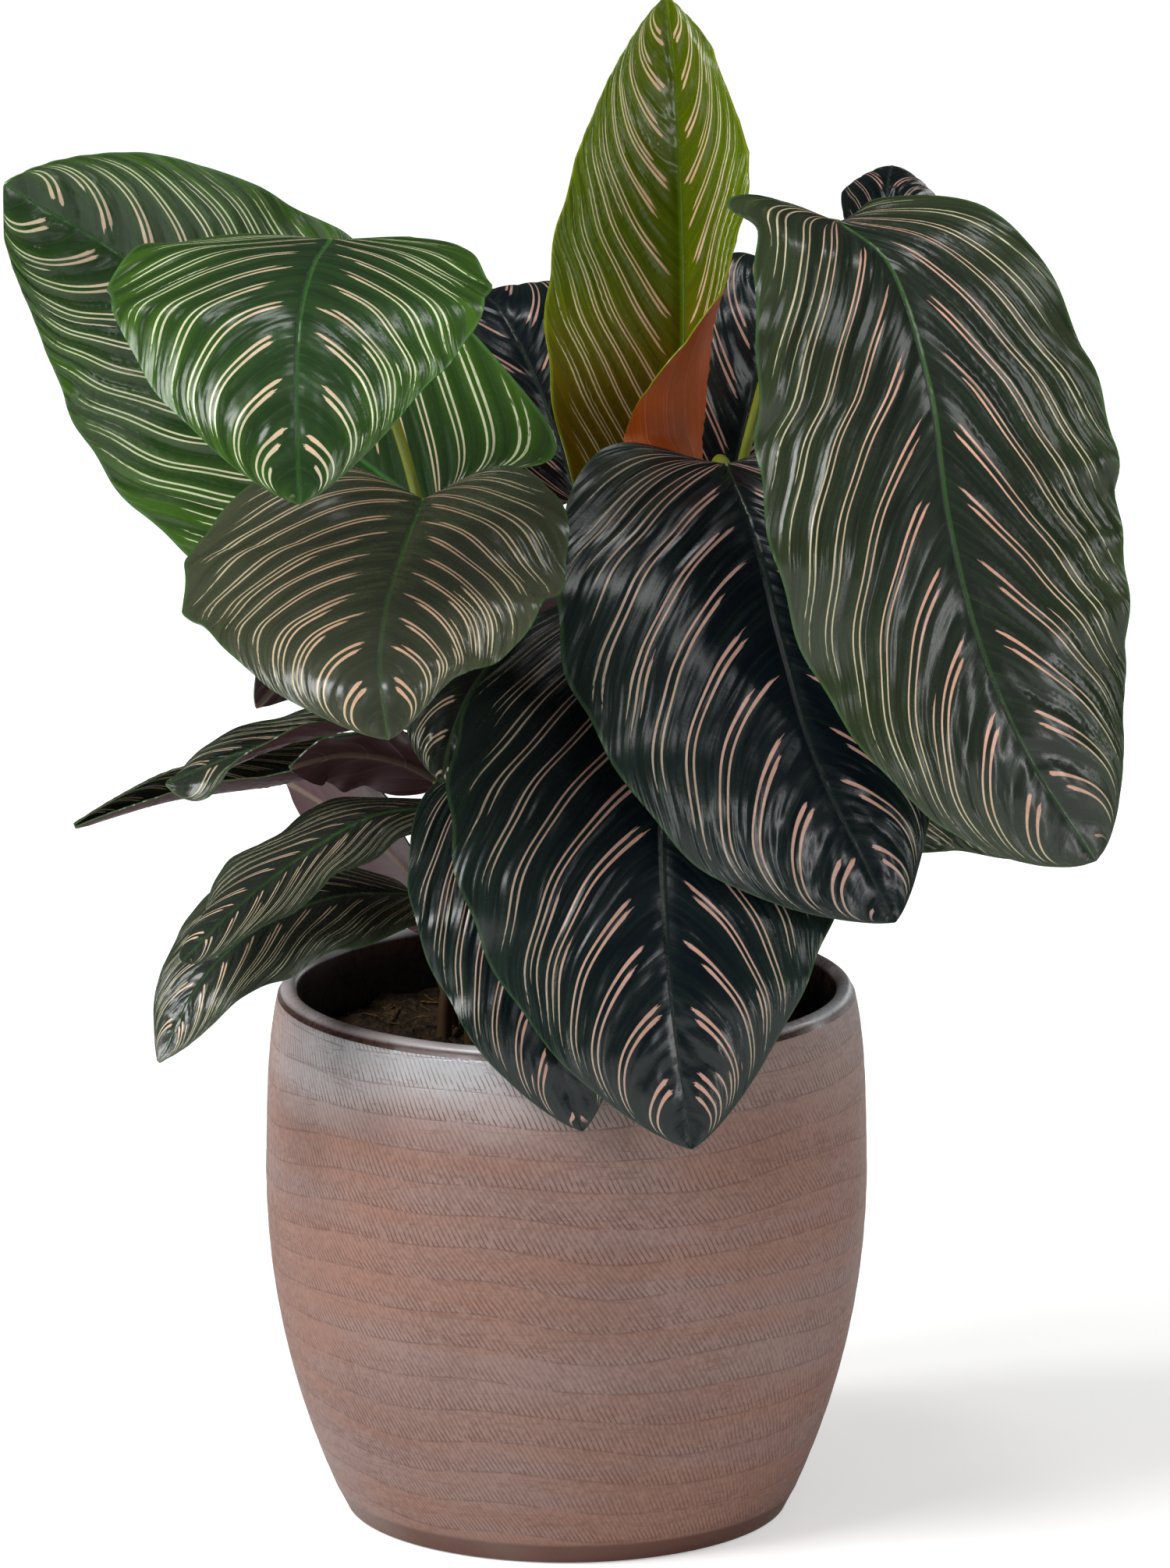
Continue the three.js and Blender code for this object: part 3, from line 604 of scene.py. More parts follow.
def make_stripe_cells_group():
    """Pairs of stripes between the side veins, some with a third, no two groups of them alike"""
    given = (("Vein", "Float", 0.0), ("Reach", "Float", 0.5), ("Width", "Float", 0.08))
    source, result = new_group("Stripe cells", given, (("Stripe", "Float"), ("Cell", "Float")))
    cell = maths("FLOOR", source["Vein"])
    across = maths("FRACT", source["Vein"])
    grain = combined(scaled(source["Vein"], 30.0), scaled(source["Reach"], 7.0))
    ragged = scaled(noise(grain, 1.6, 1.0), 0.12, -0.06)
    drift = grained(cell, 3.1, source["Reach"], 2.2)
    across = plus(across, scaled(drift, 0.12, -0.06))
    reach = plus(source["Reach"], ragged)
    first, second, third = dice(cell, 3.0), dice(cell, 11.0), dice(cell, 23.0)
    growth = scaled(times(source["Reach"], source["Reach"]), 0.8, 1.0)
    lead = scaled(first[0], 0.14, 0.28)
    gap = times(scaled(second[2], 0.05, 0.14), growth)
    next_place = plus(lead, gap)
    last_place = plus(next_place, gap)
    faint_place = minus(lead, scaled(gap, 1.3))
    stripes = (
        (lead, scaled(first[1], 0.12, 0.08), scaled(first[2], 0.14, 0.82), 1.0),
        (next_place, scaled(second[0], 0.16, 0.07), scaled(second[1], 0.14, 0.82), 1.0),
        (last_place, scaled(third[0], 2.6, 0.14), scaled(third[1], 0.2, 0.74), 0.8),
        (faint_place, scaled(third[2], 3.0, 0.30), scaled(second[2], 0.2, 0.74), 0.6),
    )
    width = times(source["Width"], growth)
    whole = 0.0
    for place, begin, end, size in stripes:
        span = {"Place": place, "Start": begin, "End": end, "Width": scaled(width, size)}
        stripe = place_group("Pinstripe", Across=across, Reach=reach, **span)["Stripe"]
        whole = maths("MAXIMUM", whole, stripe)
    dashes = eased(grained(source["Vein"], 30.0, source["Reach"], 50.0, 0.0), 0.36, 0.46)
    kept = maths("MAXIMUM", dashes, eased(source["Reach"], 0.80, 0.90, 1.0, 0.0))
    feed(result["Stripe"], times(whole, kept))
    feed(result["Cell"], across)


def make_speckle_group():
    """Fine uneven colour and roughness at two sizes"""
    given = (("Vector", "Vector", None), ("Coarse", "Float", 20.0), ("Fine", "Float", 400.0))
    source, result = new_group("Speckle", given, (("Value", "Float"),))
    coarse = noise(source["Vector"], source["Coarse"], 3.0)
    fine = noise(source["Vector"], source["Fine"], 2.0)
    feed(result["Value"], scaled(plus(coarse, fine), 0.5))


def make_leaf_material(kind, settings):
    """The upper side of a blade: base colours, pinstripes, and lines at the midrib and margin"""
    spacing, stripe, base_name, line_name, inner_name, outer_name, turn_pale, shade, _ = KINDS[kind]
    near, far = getattr(settings, base_name + "_near"), getattr(settings, base_name + "_far")
    margin, midrib = getattr(settings, line_name + "_margin"), getattr(settings, line_name + "_midrib")
    material, tree, shader = new_material(f"{kind} leaf", Specular_IOR_Level=0.42)
    vein, reach = uv_parts(tree, "veins")
    along, from_rib = uv_parts(tree, "blade")
    place = own_place(tree)
    speckle = speckled(place, 45.0, 700.0)
    streaks = grained(vein, 9.0, reach, 2.0, 3.0, 0.6)
    cells = place_group("Stripe cells", Vein=vein, Reach=reach, Width=stripe / spacing)
    base = mixed(eased(plus(reach, scaled(speckle, 0.5, -0.25)), 0.2, 1.0), near, far)
    base = mixed(eased(streaks, 0.4, 0.8, 0.0, 0.2), base, margin)
    if kind == "new":
        base = mixed(eased(along, 0.58, 0.22, 0.0, 0.95), base, settings.new_low)
    valley = off_half(maths("FRACT", scaled(cells["Cell"], 1.0, 0.55)))
    # Painted shade: towards each side vein, in the valleys between the pleats, the base darkens by the kind's
    # share
    base = mixed(eased(valley, 0.04, 0.36, shade, 0.0), base, shaded(near, 0.6))
    base = mixed(eased(valley, 0.0, 0.02, 0.2, 0.0), base, midrib)
    base = mixed(eased(reach, 0.975, 0.992, 0.0, 0.8), base, margin)
    fading = eased(along, 0.85, 0.05, 0.3, 1.0)
    rib_line = times(eased(from_rib, 0.011, 0.004), fading)
    base = mixed(rib_line, base, midrib)
    inner, outer = getattr(settings, inner_name), getattr(settings, outer_name)
    ink = mixed(eased(reach, 0.1, turn_pale), inner, outer)
    ink = mixed(eased(speckle, 0.3, 0.8, 0.0, 0.3), ink, far)
    tip = eased(along, 0.99, 0.96)
    colour = mixed(times(cells["Stripe"], tip), base, ink)
    rough = scaled(plus(streaks, speckle), 0.12, settings.gloss - 0.06)
    fine = plus(scaled(streaks, 0.4), scaled(speckle, 0.25))
    fine = plus(fine, scaled(cells["Stripe"], -0.10))
    ripple = grained(vein, 2.4, reach, 3.0)
    uneven = scaled(plus(ripple, noise(place, 34.0, 1.0)), 0.5, -0.5)
    uneven = times(uneven, eased(along, 0.99, 0.84))
    paint(shader, colour, rough, bump(fine, 0.4, 0.0006, bump(uneven, 0.6, 0.006)))
    return material


def make_underside_material(name, inner, outer, settings):
    """The underside of a blade: dull, with raised side veins and a paler midrib"""
    material, tree, shader = new_material(f"{name} underside", Specular_IOR_Level=0.35)
    vein, reach = uv_parts(tree, "veins")
    along, from_rib = uv_parts(tree, "blade")
    speckle = speckled(own_place(tree), 60.0, 600.0)
    streaks = grained(vein, 8.0, reach, 2.0, 2.0)
    strands = grained(reach, 22.0, along, 2.5, 2.0)
    low = plus(scaled(along, 3.0), scaled(strands, 1.2, -0.6))
    corner = times(eased(low, 0.62, 0.22), eased(reach, 0.70, 0.88))
    colour = mixed(corner, inner, outer)
    colour = mixed(eased(along, 0.55, 1.0, 0.0, 0.45), colour, outer)
    base = mixed(eased(speckle, 0.3, 0.7, 0.35, 0.0), colour, shaded(inner, 0.5))
    edge = off_half(maths("FRACT", vein))
    line = eased(edge, 0.46, 0.5, 0.0, 0.6)
    pale = tuple(min(1.0, 1.5 * value + 0.01) for value in outer)
    base = mixed(plus(line, eased(streaks, 0.5, 0.8, 0.0, 0.3)), base, pale)
    base = mixed(eased(from_rib, 0.02, 0.008, 0.0, 0.7), base, settings.rib_below)
    height = plus(line, scaled(streaks, 0.8))
    paint(shader, base, eased(speckle, 0.2, 0.8, 0.36, 0.55), bump(height, 0.5, 0.0006))
    return material


def make_stalk_material(settings):
    """Smooth green stalks, brown and streaked at the foot, paler at the swollen joint"""
    material, tree, shader = new_material("stalk skin", Specular_IOR_Level=0.5)
    around, along = uv_parts(tree, "stalk")
    speckle = speckled(own_place(tree), 70.0, 900.0)
    streaks = grained(around, 14.0, along, 9.0, 2.0)
    height = plus(along, scaled(speckle, 0.4, -0.2))
    base = mixed(eased(height, 0.12, 0.55), settings.brown, settings.green)
    base = mixed(eased(along, 0.90, 0.93), base, settings.pale)
    dark = mixed(0.5, base, srgb(40, 40, 20))
    base = mixed(eased(streaks, 0.45, 0.8, 0.0, 0.8), base, dark)
    paint(shader, base, eased(speckle, 0.2, 0.8, 0.32, 0.5), bump(plus(streaks, speckle), 0.4, 0.0004))
    return material


def make_soil_material(name, dark, light):
    """Crumbly potting mix, from moist dark to dry crumbs"""
    material, tree, shader = new_material(name, Specular_IOR_Level=0.25)
    place = own_place(tree)
    crumbs = noise(place, 260.0, 4.0, 0.7)
    speckle = speckled(place, 90.0, 900.0)
    base = mixed(eased(crumbs, 0.35, 0.65), dark, light)
    base = mixed(eased(speckle, 0.4, 0.65, 0.0, 0.5), base, shaded(dark, 0.5))
    paint(shader, base, eased(speckle, 0.3, 0.7, 0.75, 0.95), bump(plus(crumbs, speckle), 1.0, 0.0016))
    return material


def make_comb_group():
    """Slanted comb marks in bands: a height, how deep in a mark a point is, and the lines between bands"""
    given = (
        ("Round", "Float", 0.0), ("Height", "Float", 0.0), ("Vector", "Vector", None),
        ("Ribs", "Float", 330.0), ("Band", "Float", 12.0),
    )
    results = (("Height", "Float"), ("Groove", "Float"), ("Line", "Float"), ("Strata", "Float"))
    source, result = new_group("Comb marks", given, results)
    sway = noise(source["Vector"], 9.0, 1.0)
    level = plus(source["Height"], scaled(sway, 26.0, -13.0))
    level = maths("DIVIDE", level, source["Band"])
    within = maths("FRACT", level)
    band = maths("FLOOR", level)
    phase, lean, depth = dice(band, 5.0)
    slant = times(source["Height"], scaled(lean, 0.14, 0.24))
    turn = plus(times(source["Round"], source["Ribs"]), slant)
    turn = plus(turn, phase)
    turn = plus(turn, scaled(noise(source["Vector"], 70.0, 2.0), 1.0))
    wave = scaled(maths("COSINE", scaled(turn, 2 * math.pi)), 0.5, 0.5)
    broken = eased(noise(source["Vector"], 240.0, 2.0, 0.6), 0.36, 0.52, 0.3, 1.0)
    strength = times(broken, scaled(depth, 0.3, 0.7))
    strength = times(strength, eased(within, 0.0, 0.8, 1.0, 0.45))
    groove = times(eased(wave, 0.32, 0.03), strength)
    strata = noise(stretched(source["Vector"], 13.0), 8.0, 3.0, 0.6)
    border = eased(off_half(within), 0.455, 0.49)
    contour = eased(off_half(strata), 0.012, 0.002, 0.0, 0.7)
    worn = eased(noise(source["Vector"], 160.0, 3.0, 0.6), 0.34, 0.54)
    line = times(maths("MAXIMUM", border, contour), worn)
    height = minus(1.0, plus(groove, scaled(line, 0.4)))
    feed(result["Strata"], plus(scaled(strata, 0.7), scaled(within, 0.12)))
    feed(result["Height"], height)
    feed(result["Groove"], groove)
    feed(result["Line"], line)


def make_combed_glaze(settings):
    """The pot's outside: glaze with clay in the comb marks, thick glaze with a painted grey highlight above,
    and a bare foot band
    """
    material, tree, shader = new_material("combed glaze", Specular_IOR_Level=0.5)
    round_share, height = uv_parts(tree, "pot")
    place = own_place(tree)
    level = scaled(height, POT_HEIGHT)
    comb = place_group(
        "Comb marks", Round=round_share, Height=level, Vector=place,
        Ribs=float(settings.ribs), Band=settings.band / MM,
    )
    speckle = speckled(place, 14.0, 500.0)
    cloud = noise(stretched(place, 2.6), 7.0, 3.0)
    redder = plus(scaled(cloud, 0.6), scaled(comb["Strata"], 0.4))
    glaze = mixed(eased(redder, 0.36, 0.54), settings.rib, settings.warm)
    glaze = mixed(eased(speckle, 0.42, 0.62, 0.0, 0.3), glaze, settings.groove)
    # Painted highlight: thick grey glaze mixed in below the rim round a spot at the upper left, where the
    # light from the left glints; the glaze is also smoother there
    shoulder = eased(plus(level, scaled(cloud, 90.0, -45.0)), 150.0, 200.0)
    spot = place_node("VectorMath", place, GLAZE_AND_HIGHLIGHT_SPOT, operation="DISTANCE").outputs["Value"]
    glaze_and_painted_highlight = times(shoulder, eased(spot, 0.10, 0.03, 0.2, 0.9))
    glaze = mixed(glaze_and_painted_highlight, glaze, settings.pale)
    bare = maths("MAXIMUM", scaled(comb["Groove"], 0.85), scaled(comb["Line"], 0.42))
    outside = mixed(bare, glaze, settings.groove)
    foot = eased(plus(level, scaled(speckle, 1.6)), 7.8, 9.6, 1.0, 0.0)
    clay = mixed(eased(cloud, 0.4, 0.6), settings.foot, settings.groove)
    worn = plus(eased(speckle, 0.3, 0.7, 0.40, 0.58), scaled(bare, 0.15))
    relief = plus(times(comb["Height"], minus(1.0, foot)), scaled(speckle, 0.5))
    colour = mixed(foot, outside, clay)
    paint(shader, colour, minus(worn, scaled(glaze_and_painted_highlight, 0.34)), bump(relief, 0.5, 0.0006))
    return material


def make_plain_glaze(settings):
    """The pot's rim, and its inner wall with painted shade"""
    material, tree, shader = new_material("plain glaze", Specular_IOR_Level=0.5)
    place = own_place(tree)
    _, height = uv_parts(tree, "pot")
    cloud = noise(place, 22.0, 3.0)
    speckle = speckled(place, 30.0, 420.0)
    rim = mixed(eased(cloud, 0.35, 0.65, 0.4, 0.9), settings.rib, settings.pale)
    # Painted shade: the inner wall is near-black, turning brown only just below the rim
    wall = mixed(eased(height, 0.93, 0.985, 0.0, 0.4), settings.inside, settings.groove)
    wall = mixed(eased(speckle, 0.35, 0.7, 0.0, 0.1), wall, settings.rib)
    colour = mixed(eased(height, 0.985, 0.995), wall, rim)
    paint(shader, colour, eased(speckle, 0.3, 0.7, 0.22, 0.42), bump(cloud, 0.3, 0.0008))
    return material


# Meshes


def new_grid(name, rows, columns):
    """A flat grid primitive with its rows along Y, and each vertex's row and column"""
    bpy.ops.object.select_all(action="DESELECT")
    bpy.ops.mesh.primitive_grid_add(x_subdivisions=columns - 1, y_subdivisions=rows - 1, size=2)
    piece = bpy.context.object
    piece.name = piece.data.name = name
    flat = read_places(piece)
    column = np.rint((flat[:, 0] + 1) / 2 * (columns - 1)).astype(int)
    row = np.rint((flat[:, 1] + 1) / 2 * (rows - 1)).astype(int)
    for layer in list(piece.data.uv_layers):
        piece.data.uv_layers.remove(layer)
    return piece, row, column


def read_places(piece):
    places = np.empty(len(piece.data.vertices) * 3)
    piece.data.vertices.foreach_get("co", places)
    return places.reshape(-1, 3)


def set_places(piece, places):
    piece.data.vertices.foreach_set("co", np.asarray(places, float).ravel())
    piece.data.update()


def add_uv_map(piece, name, values):
    """A UV map from one pair of numbers for each vertex"""
    layer = piece.data.uv_layers.new(name=name)
    corners = np.empty(len(piece.data.loops), int)
    piece.data.loops.foreach_get("vertex_index", corners)
    layer.data.foreach_set("uv", np.asarray(values, float)[corners].ravel())


def edit_all(piece, *steps):
    """Runs edit-mode operators on a whole piece"""
    bpy.ops.object.select_all(action="DESELECT")
    piece.select_set(True)
    bpy.context.view_layer.objects.active = piece
    bpy.ops.object.mode_set(mode="EDIT")
    bpy.ops.mesh.select_all(action="SELECT")
    for step in steps:
        step()
    bpy.ops.object.mode_set(mode="OBJECT")


def close_seams(piece, distance=1e-6):
    edit_all(
        piece,
        lambda: bpy.ops.mesh.remove_doubles(threshold=distance),
        lambda: bpy.ops.mesh.normals_make_consistent(inside=False),
    )


def apply_modifier(piece, kind, **options):
    bpy.context.view_layer.objects.active = piece
    made = piece.modifiers.new(kind.title(), kind)
    for name, option in options.items():
        setattr(made, name, option)
    bpy.ops.object.modifier_apply(modifier=made.name)


def smooth(piece, degrees):
    bpy.ops.object.select_all(action="DESELECT")
    piece.select_set(True)
    bpy.context.view_layer.objects.active = piece
    bpy.ops.object.shade_smooth_by_angle(angle=math.radians(degrees))


def hand_over(piece, node):
    """Parents a finished piece to the root body and hides the CAD node that it stands for"""
    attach(piece, "root")
    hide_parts(node)


# Curves and blade surface, by the same rules as the part's solids


def all_leaves():
    """Number, name and figures of each leaf, with the usual figures where it has none of its own"""
    for number, (name, own) in enumerate(LEAVES.items()):
        yield number, name, {**USUAL, **own}


def curve_places(points, shares):
    """Places on the smooth centripetal curve through some points, at shares of its parameter"""
    points = np.asarray(points, float)
    spans = len(points) - 1
    padded = np.vstack([2 * points[0] - points[1], points, 2 * points[-1] - points[-2]])
    position = np.clip(shares, 0, 1) * spans
    first = np.minimum(position.astype(int), spans - 1)
    share = (position - first)[:, None]
    before, start, end, after = (padded[first + step] for step in range(4))
    gap_before, gap, gap_after = (
        np.sqrt(np.linalg.norm(far - near, axis=1))[:, None]
        for near, far in ((before, start), (start, end), (end, after))
    )
    leave = gap * ((start - before) / gap_before - (end - before) / (gap_before + gap) + (end - start) / gap)
    arrive = gap * ((end - start) / gap - (after - start) / (gap + gap_after) + (after - end) / gap_after)
    square = 3 * (end - start) - 2 * leave - arrive
    cube = 2 * (start - end) + leave + arrive
    return start + leave * share + square * share**2 + cube * share**3


def curve_by_length(points, shares, divisions):
    """Places and tangents at shares of the curve's length, and that length"""
    steps = np.linspace(0, 1, divisions + 1)
    chords = np.linalg.norm(np.diff(curve_places(points, steps), axis=0), axis=1)
    lengths = np.concatenate([[0], np.cumsum(chords)])
    shares = np.interp(np.asarray(shares) * lengths[-1], lengths, steps)
    ahead = curve_places(points, np.minimum(shares + 1e-4, 1))
    tangents = ahead - curve_places(points, np.maximum(shares - 1e-4, 0))
    return curve_places(points, shares), unit(tangents), lengths[-1]


def unit(vectors):
    return vectors / np.linalg.norm(vectors, axis=-1, keepdims=True)


def spread(values, place):
    """Reads one row for the whole blade, or a short list of rows that is spread evenly along it"""
    values = np.asarray(values, float)
    if values.ndim == 1:
        values = np.stack([values, values])
    position = np.asarray(place) * (len(values) - 1)
    first = np.minimum(position.astype(int), len(values) - 2)
    share = (position - first)[:, None]
    return values[first] * (1 - share) + values[first + 1] * share


def blade_frame(leaf, place):
    """Centre line, tangent, upper-side and side directions at places along a blade, and its length"""
    centre, tangent, length = curve_by_length(leaf["midrib"], place, 80)
    facing = spread(leaf["facing"], place)
    facing = unit(facing - tangent * (facing * tangent).sum(axis=1, keepdims=True))
    return centre, tangent, facing, np.cross(facing, tangent), length


def half_widths(leaf, place):
    """Half-widths on the left and right at places along a blade"""
    def width(at):
        return at ** leaf["base"] * (1 - at) ** leaf["taper"]
    share = width(place) / width(leaf["base"] / (leaf["base"] + leaf["taper"]))
    stub = BLADE_BASE_HALF + (BLADE_TIP_HALF - BLADE_BASE_HALF) * place
    return np.hypot(stub[:, None], share[:, None] * np.asarray(leaf["half"], float))


def blade_surface(leaf, place, across, seed, rolls=()):
    """Points of the upper side, a row for each place along the blade, a column for each place across"""
    centre, tangent, facing, side, length = blade_frame(leaf, place)
    hand = (across >= 0).astype(int)
    reach = np.abs(across)[None, :]
    scallops = np.sin(2 * math.pi * length / SCALLOP_LENGTH * place[:, None] + seed + 2.4 * hand)
    ends = np.sin(math.pi * place)[:, None]
    half = half_widths(leaf, place)[:, hand] * (1 + SCALLOP_DEPTH * scallops * ends)
    fold = np.radians(spread(leaf["fold"], place))[:, hand]
    curl = np.radians(spread(leaf["curl"], place))[:, hand]
    curl = np.where(np.abs(curl) < 0.01, 0.01, curl)
    out = half * (np.sin(fold + curl * reach) - np.sin(fold)) / curl
    up = half * (np.cos(fold) - np.cos(fold + curl * reach)) / curl
    height, count, start = leaf["wave"]
    phase = 2 * math.pi * count * place[:, None] + math.radians(start) + 2 * hand
    up = up + height * reach**2 * ends * np.sin(phase)
    up = up + 0.12 * height * reach**4 * ends * np.sin(2.7 * phase + seed)
    roll_out, roll_up = rolled(across, place, half, fold + curl * reach, rolls)
    out, up = out + roll_out, up + roll_up
    near = (place / LOBE_PLACE)[:, None]
    back = np.asarray(leaf["lobe"])[hand] * length * near * np.exp(1 - near) * reach**2
    points = centre[:, None] + side[:, None] * (np.sign(across) * out)[..., None]
    return points + facing[:, None] * up[..., None] - tangent[:, None] * back[..., None], half, length


def rolled(across, place, half, slope, rolls):
    """How far the rolled parts of the margins move outward and upward from where the slope takes them"""
    out = np.zeros((len(place), len(across)))
    up = np.zeros_like(out)
    for side, middle, span, start, degrees in rolls:
        hand = (across >= 0) == bool(side)
        steps = np.sort(np.abs(across[hand]))
        share = np.exp(-(((place - middle) / span) ** 2))[:, None]
        turn = np.radians(degrees) * share * np.clip(2 * (steps - start) / (1 - start), 0, 1)
        order = slice(None) if side else slice(None, None, -1)
        stride = np.gradient(steps) * half[:, hand][:, -1 if side else 0][:, None]
        lean = slope[:, hand][:, order]
        moved_out = np.cumsum((np.cos(lean + turn) - np.cos(lean)) * stride, axis=1)
        moved_up = np.cumsum((np.sin(lean + turn) - np.sin(lean)) * stride, axis=1)
        out[:, hand] += moved_out[:, order]
        up[:, hand] += moved_up[:, order]
    return out, up


def vein_places(place, reach):
    """Where on the midrib the side vein through each point starts, as a share of the blade"""
    starts = np.linspace(-0.8, 1, 700)
    advance = (1 - starts) * (0.50 + 0.45 * starts)
    columns = [np.interp(place, starts + advance * out**VEIN_ARCH, starts) for out in reach]
    return np.stack(columns, axis=1)


def make_blade(name, leaf, number, settings, materials):
    """One blade: a grid shaped to the leaf, pleated between its veins, then given its thickness and midrib"""
    rows, sides = WIDE_GRID if max(leaf["half"]) > WIDE_BLADE else NARROW_GRID
    place = np.linspace(0, 1, rows)
    place = 0.5 * place + 0.25 * (1 - np.cos(math.pi * place))
    outward = np.linspace(0, 1, sides + 1) ** 1.15
    across = np.concatenate([-outward[:0:-1], outward])
    reach = np.abs(across)
    points, half, length = blade_surface(leaf, place, across, number, ROLLS.get(name, ()))
    cells = max(4, round(length / KINDS[leaf["kind"]][0]))
    starts = vein_places(place, reach)
    vein = cells * (starts - TIP_CROWDING * starts**5)
    height = PLEATS.get(name, settings.pleat / MM)
    share = np.abs(2 * (vein % 1) - 1)
    swell = (1 - share**2.4) - 0.6
    fade = np.clip((reach - 0.03) / 0.2, 0, 1) * (1 - 0.6 * reach**3)
    swell = height * swell * fade * np.sin(math.pi * place)[:, None] ** 0.5
    groove = -RIB_GROOVE * np.exp(-((reach * half / RIB_GROOVE_WIDTH) ** 2))
    lengthwise = np.gradient(points, axis=0)
    crosswise = np.gradient(points, axis=1)
    facing = unit(np.cross(lengthwise, crosswise))
    points = points + facing * (swell + groove * np.sin(math.pi * place)[:, None] ** 0.3)[..., None]

    columns = len(across)
    piece, row, column = new_grid(f"blade_{name}", rows, columns)
    column = columns - 1 - column
    set_places(piece, points[row, column] * MM)
    turn = 40.0 * number + np.where(across >= 0, 20.0, 0.0)
    add_uv_map(piece, "veins", np.stack([(vein + turn)[row, column], reach[column]], axis=1))
    from_rib = (reach * half)[row, column] / 100
    add_uv_map(piece, "blade", np.stack([place[row], from_rib], axis=1))
    count = len(row)
    for material in materials:
        piece.data.materials.append(material)
    apply_modifier(
        piece, "SOLIDIFY", thickness=settings.thickness, offset=-1, use_rim=True, material_offset=1
    )
    places = read_places(piece)
    depth = settings.rib * (1 - 0.75 * place[row]) * np.exp(-((100 * from_rib / RIB_WIDTH) ** 2))
    places[count:] -= facing[row, column] * depth[:, None]
    set_places(piece, np.clip(places, *CAD_BOX))
    smooth(piece, 50)
    return piece


def stalk_points(leaf):
    """The points that a stalk passes, from its buried end to the underside of its blade"""
    centre, tangent, facing, _, _ = blade_frame(leaf, np.array([0.0, 0.02]))
    centre, tangent, facing = centre[0], tangent[0], facing[0]
    rise = unit(tangent + 0.8 * facing)
    end = centre - facing * BLADE_BASE_DEPTH - rise * (STALK_GAP + BLADE_BASE_DEPTH * (facing @ rise))
    joint = end - rise * STALK_JOINT
    foot = np.array([*leaf["foot"], SOIL_TOP])
    via = foot + 0.55 * (joint - foot)
    via[2] = foot[2] + 0.6 * (joint[2] - foot[2])
    via = np.array(leaf.get("via", via), float)
    lean = unit(unit(via - foot) + (0, 0, 1.5))
    inside = centre + tangent * 5 - facing * 1.4
    return [foot - lean * STALK_BURIED, foot, foot + lean * STALK_ABOVE, via, joint, end, inside]


def make_stalk(name, leaf, settings):
    """One stalk: a grid rolled into a tube along its curve, with a sheath at the foot and a swollen joint"""
    rings, sides = STALK_GRID
    shares = np.linspace(0, 1, rings)
    centre, tangent, length = curve_by_length(stalk_points(leaf), shares, 200)
    along = shares * length
    above = along - STALK_BURIED
    left = length - 6 - along
    radius = np.interp(shares * 1.6, (0, 1), (STALK_END_RADIUS, settings.middle / MM))
    radius += (settings.foot / MM - STALK_END_RADIUS) * np.exp(-np.clip(above, 0, None) / 22)
    swell = np.clip((STALK_JOINT - left) / 3, 0, 1) * np.clip((left + 3) / 4, 0, 1)
    radius += (settings.joint / MM - radius) * swell * (0.93 + 0.07 * np.sin(left * 2.1))
    radius *= np.clip((length - along) / 5, 0, 1) ** 0.5
    radius[0] = 0
    frames = [np.cross(tangent[0], (0, 1, 0))]
    for step in range(1, rings):
        last = frames[-1]
        frames.append(last - tangent[step] * (last @ tangent[step]))
    first = unit(np.array(frames))
    second = np.cross(tangent, first)
    angles = np.linspace(0, 2 * math.pi, sides + 1)
    channel = 1 - 0.22 * np.exp(-((angles - math.pi) ** 2) / 0.3)
    ring = channel[None, :, None] * (
        first[:, None] * np.cos(angles)[None, :, None] + second[:, None] * np.sin(angles)[None, :, None]
    )
    points = centre[:, None] + radius[:, None, None] * ring
    piece, row, column = new_grid(f"stem_{name}", rings, sides + 1)
    set_places(piece, points[row, column] * MM)
    share = np.clip(above / (length - STALK_BURIED), 0, 1)
    add_uv_map(piece, "stalk", np.stack([angles[column] / (2 * math.pi), share[row]], axis=1))
    close_seams(piece)
    smooth(piece, 60)
    return piece


def pot_radius(height):
    """Outer radius at a height: narrow foot, full belly, slight draw-in at the rim"""
    down = np.clip((POT_BELLY_HEIGHT - height) / POT_BELLY_HEIGHT, 0, 1)
    up = np.clip((height - POT_BELLY_HEIGHT) / (POT_HEIGHT - POT_BELLY_HEIGHT), 0, 1)
    below = POT_BELLY - (POT_BELLY - POT_FOOT) * down**2.1
    return below - (POT_BELLY - POT_RIM) * (0.25 * up + 0.75 * up**4)


def inner_radius(height):
    up = np.clip(1.25 * (height - POT_FLOOR) / (POT_HEIGHT - POT_FLOOR), 0, 1)
    return POT_INNER_FOOT + (POT_MOUTH - POT_INNER_FOOT) * up**0.8


def pot_profile():
    """Radius and height from the middle of the underside, up the outside, over the rim and down inside

    Also says where the outer wall starts and ends.
    """
    outside = np.linspace(POT_FOOT_BAND + 0.8, POT_HEIGHT - 4.2, 166)
    turn = np.radians(np.linspace(0, 180, 13))
    middle = (POT_RIM + POT_MOUTH) / 2
    half = (POT_RIM - POT_MOUTH) / 2
    foot = [
        (0, 1.2), (40, 1.2), (76, 1.2), (77, 0.2), (79.8, 0), (81.2, 0.5), (81.9, 2), (84.6, 7.2), (85, 7.9),
    ]
    inside = np.array([186, 178, 172, 166, 150, 110, 60, 24])
    parts = [
        np.array(foot, float),
        np.stack([pot_radius(outside), outside], axis=1),
        np.stack([middle + half * np.cos(turn), POT_HEIGHT - 3 + 3 * np.sin(turn)], axis=1),
        np.stack([inner_radius(inside), inside], axis=1),
        np.array([(POT_INNER_FOOT, POT_FLOOR), (0, POT_FLOOR)]),
    ]
    first_outer = len(foot)
    return np.vstack(parts), first_outer, first_outer + len(outside)


def wavering(angle, level, seed):
    """A smooth uneven value round the pot that closes on itself, from -1 to 1"""
    rng = np.random.default_rng(seed)
    total = 0
    for turns in (1, 2, 3, 5):
        phase = rng.uniform(0, 2 * math.pi, 2)
        total = total + np.sin(turns * angle + phase[0] + 0.35 * np.sin(level / 17 + phase[1])) / turns
    return total / 2


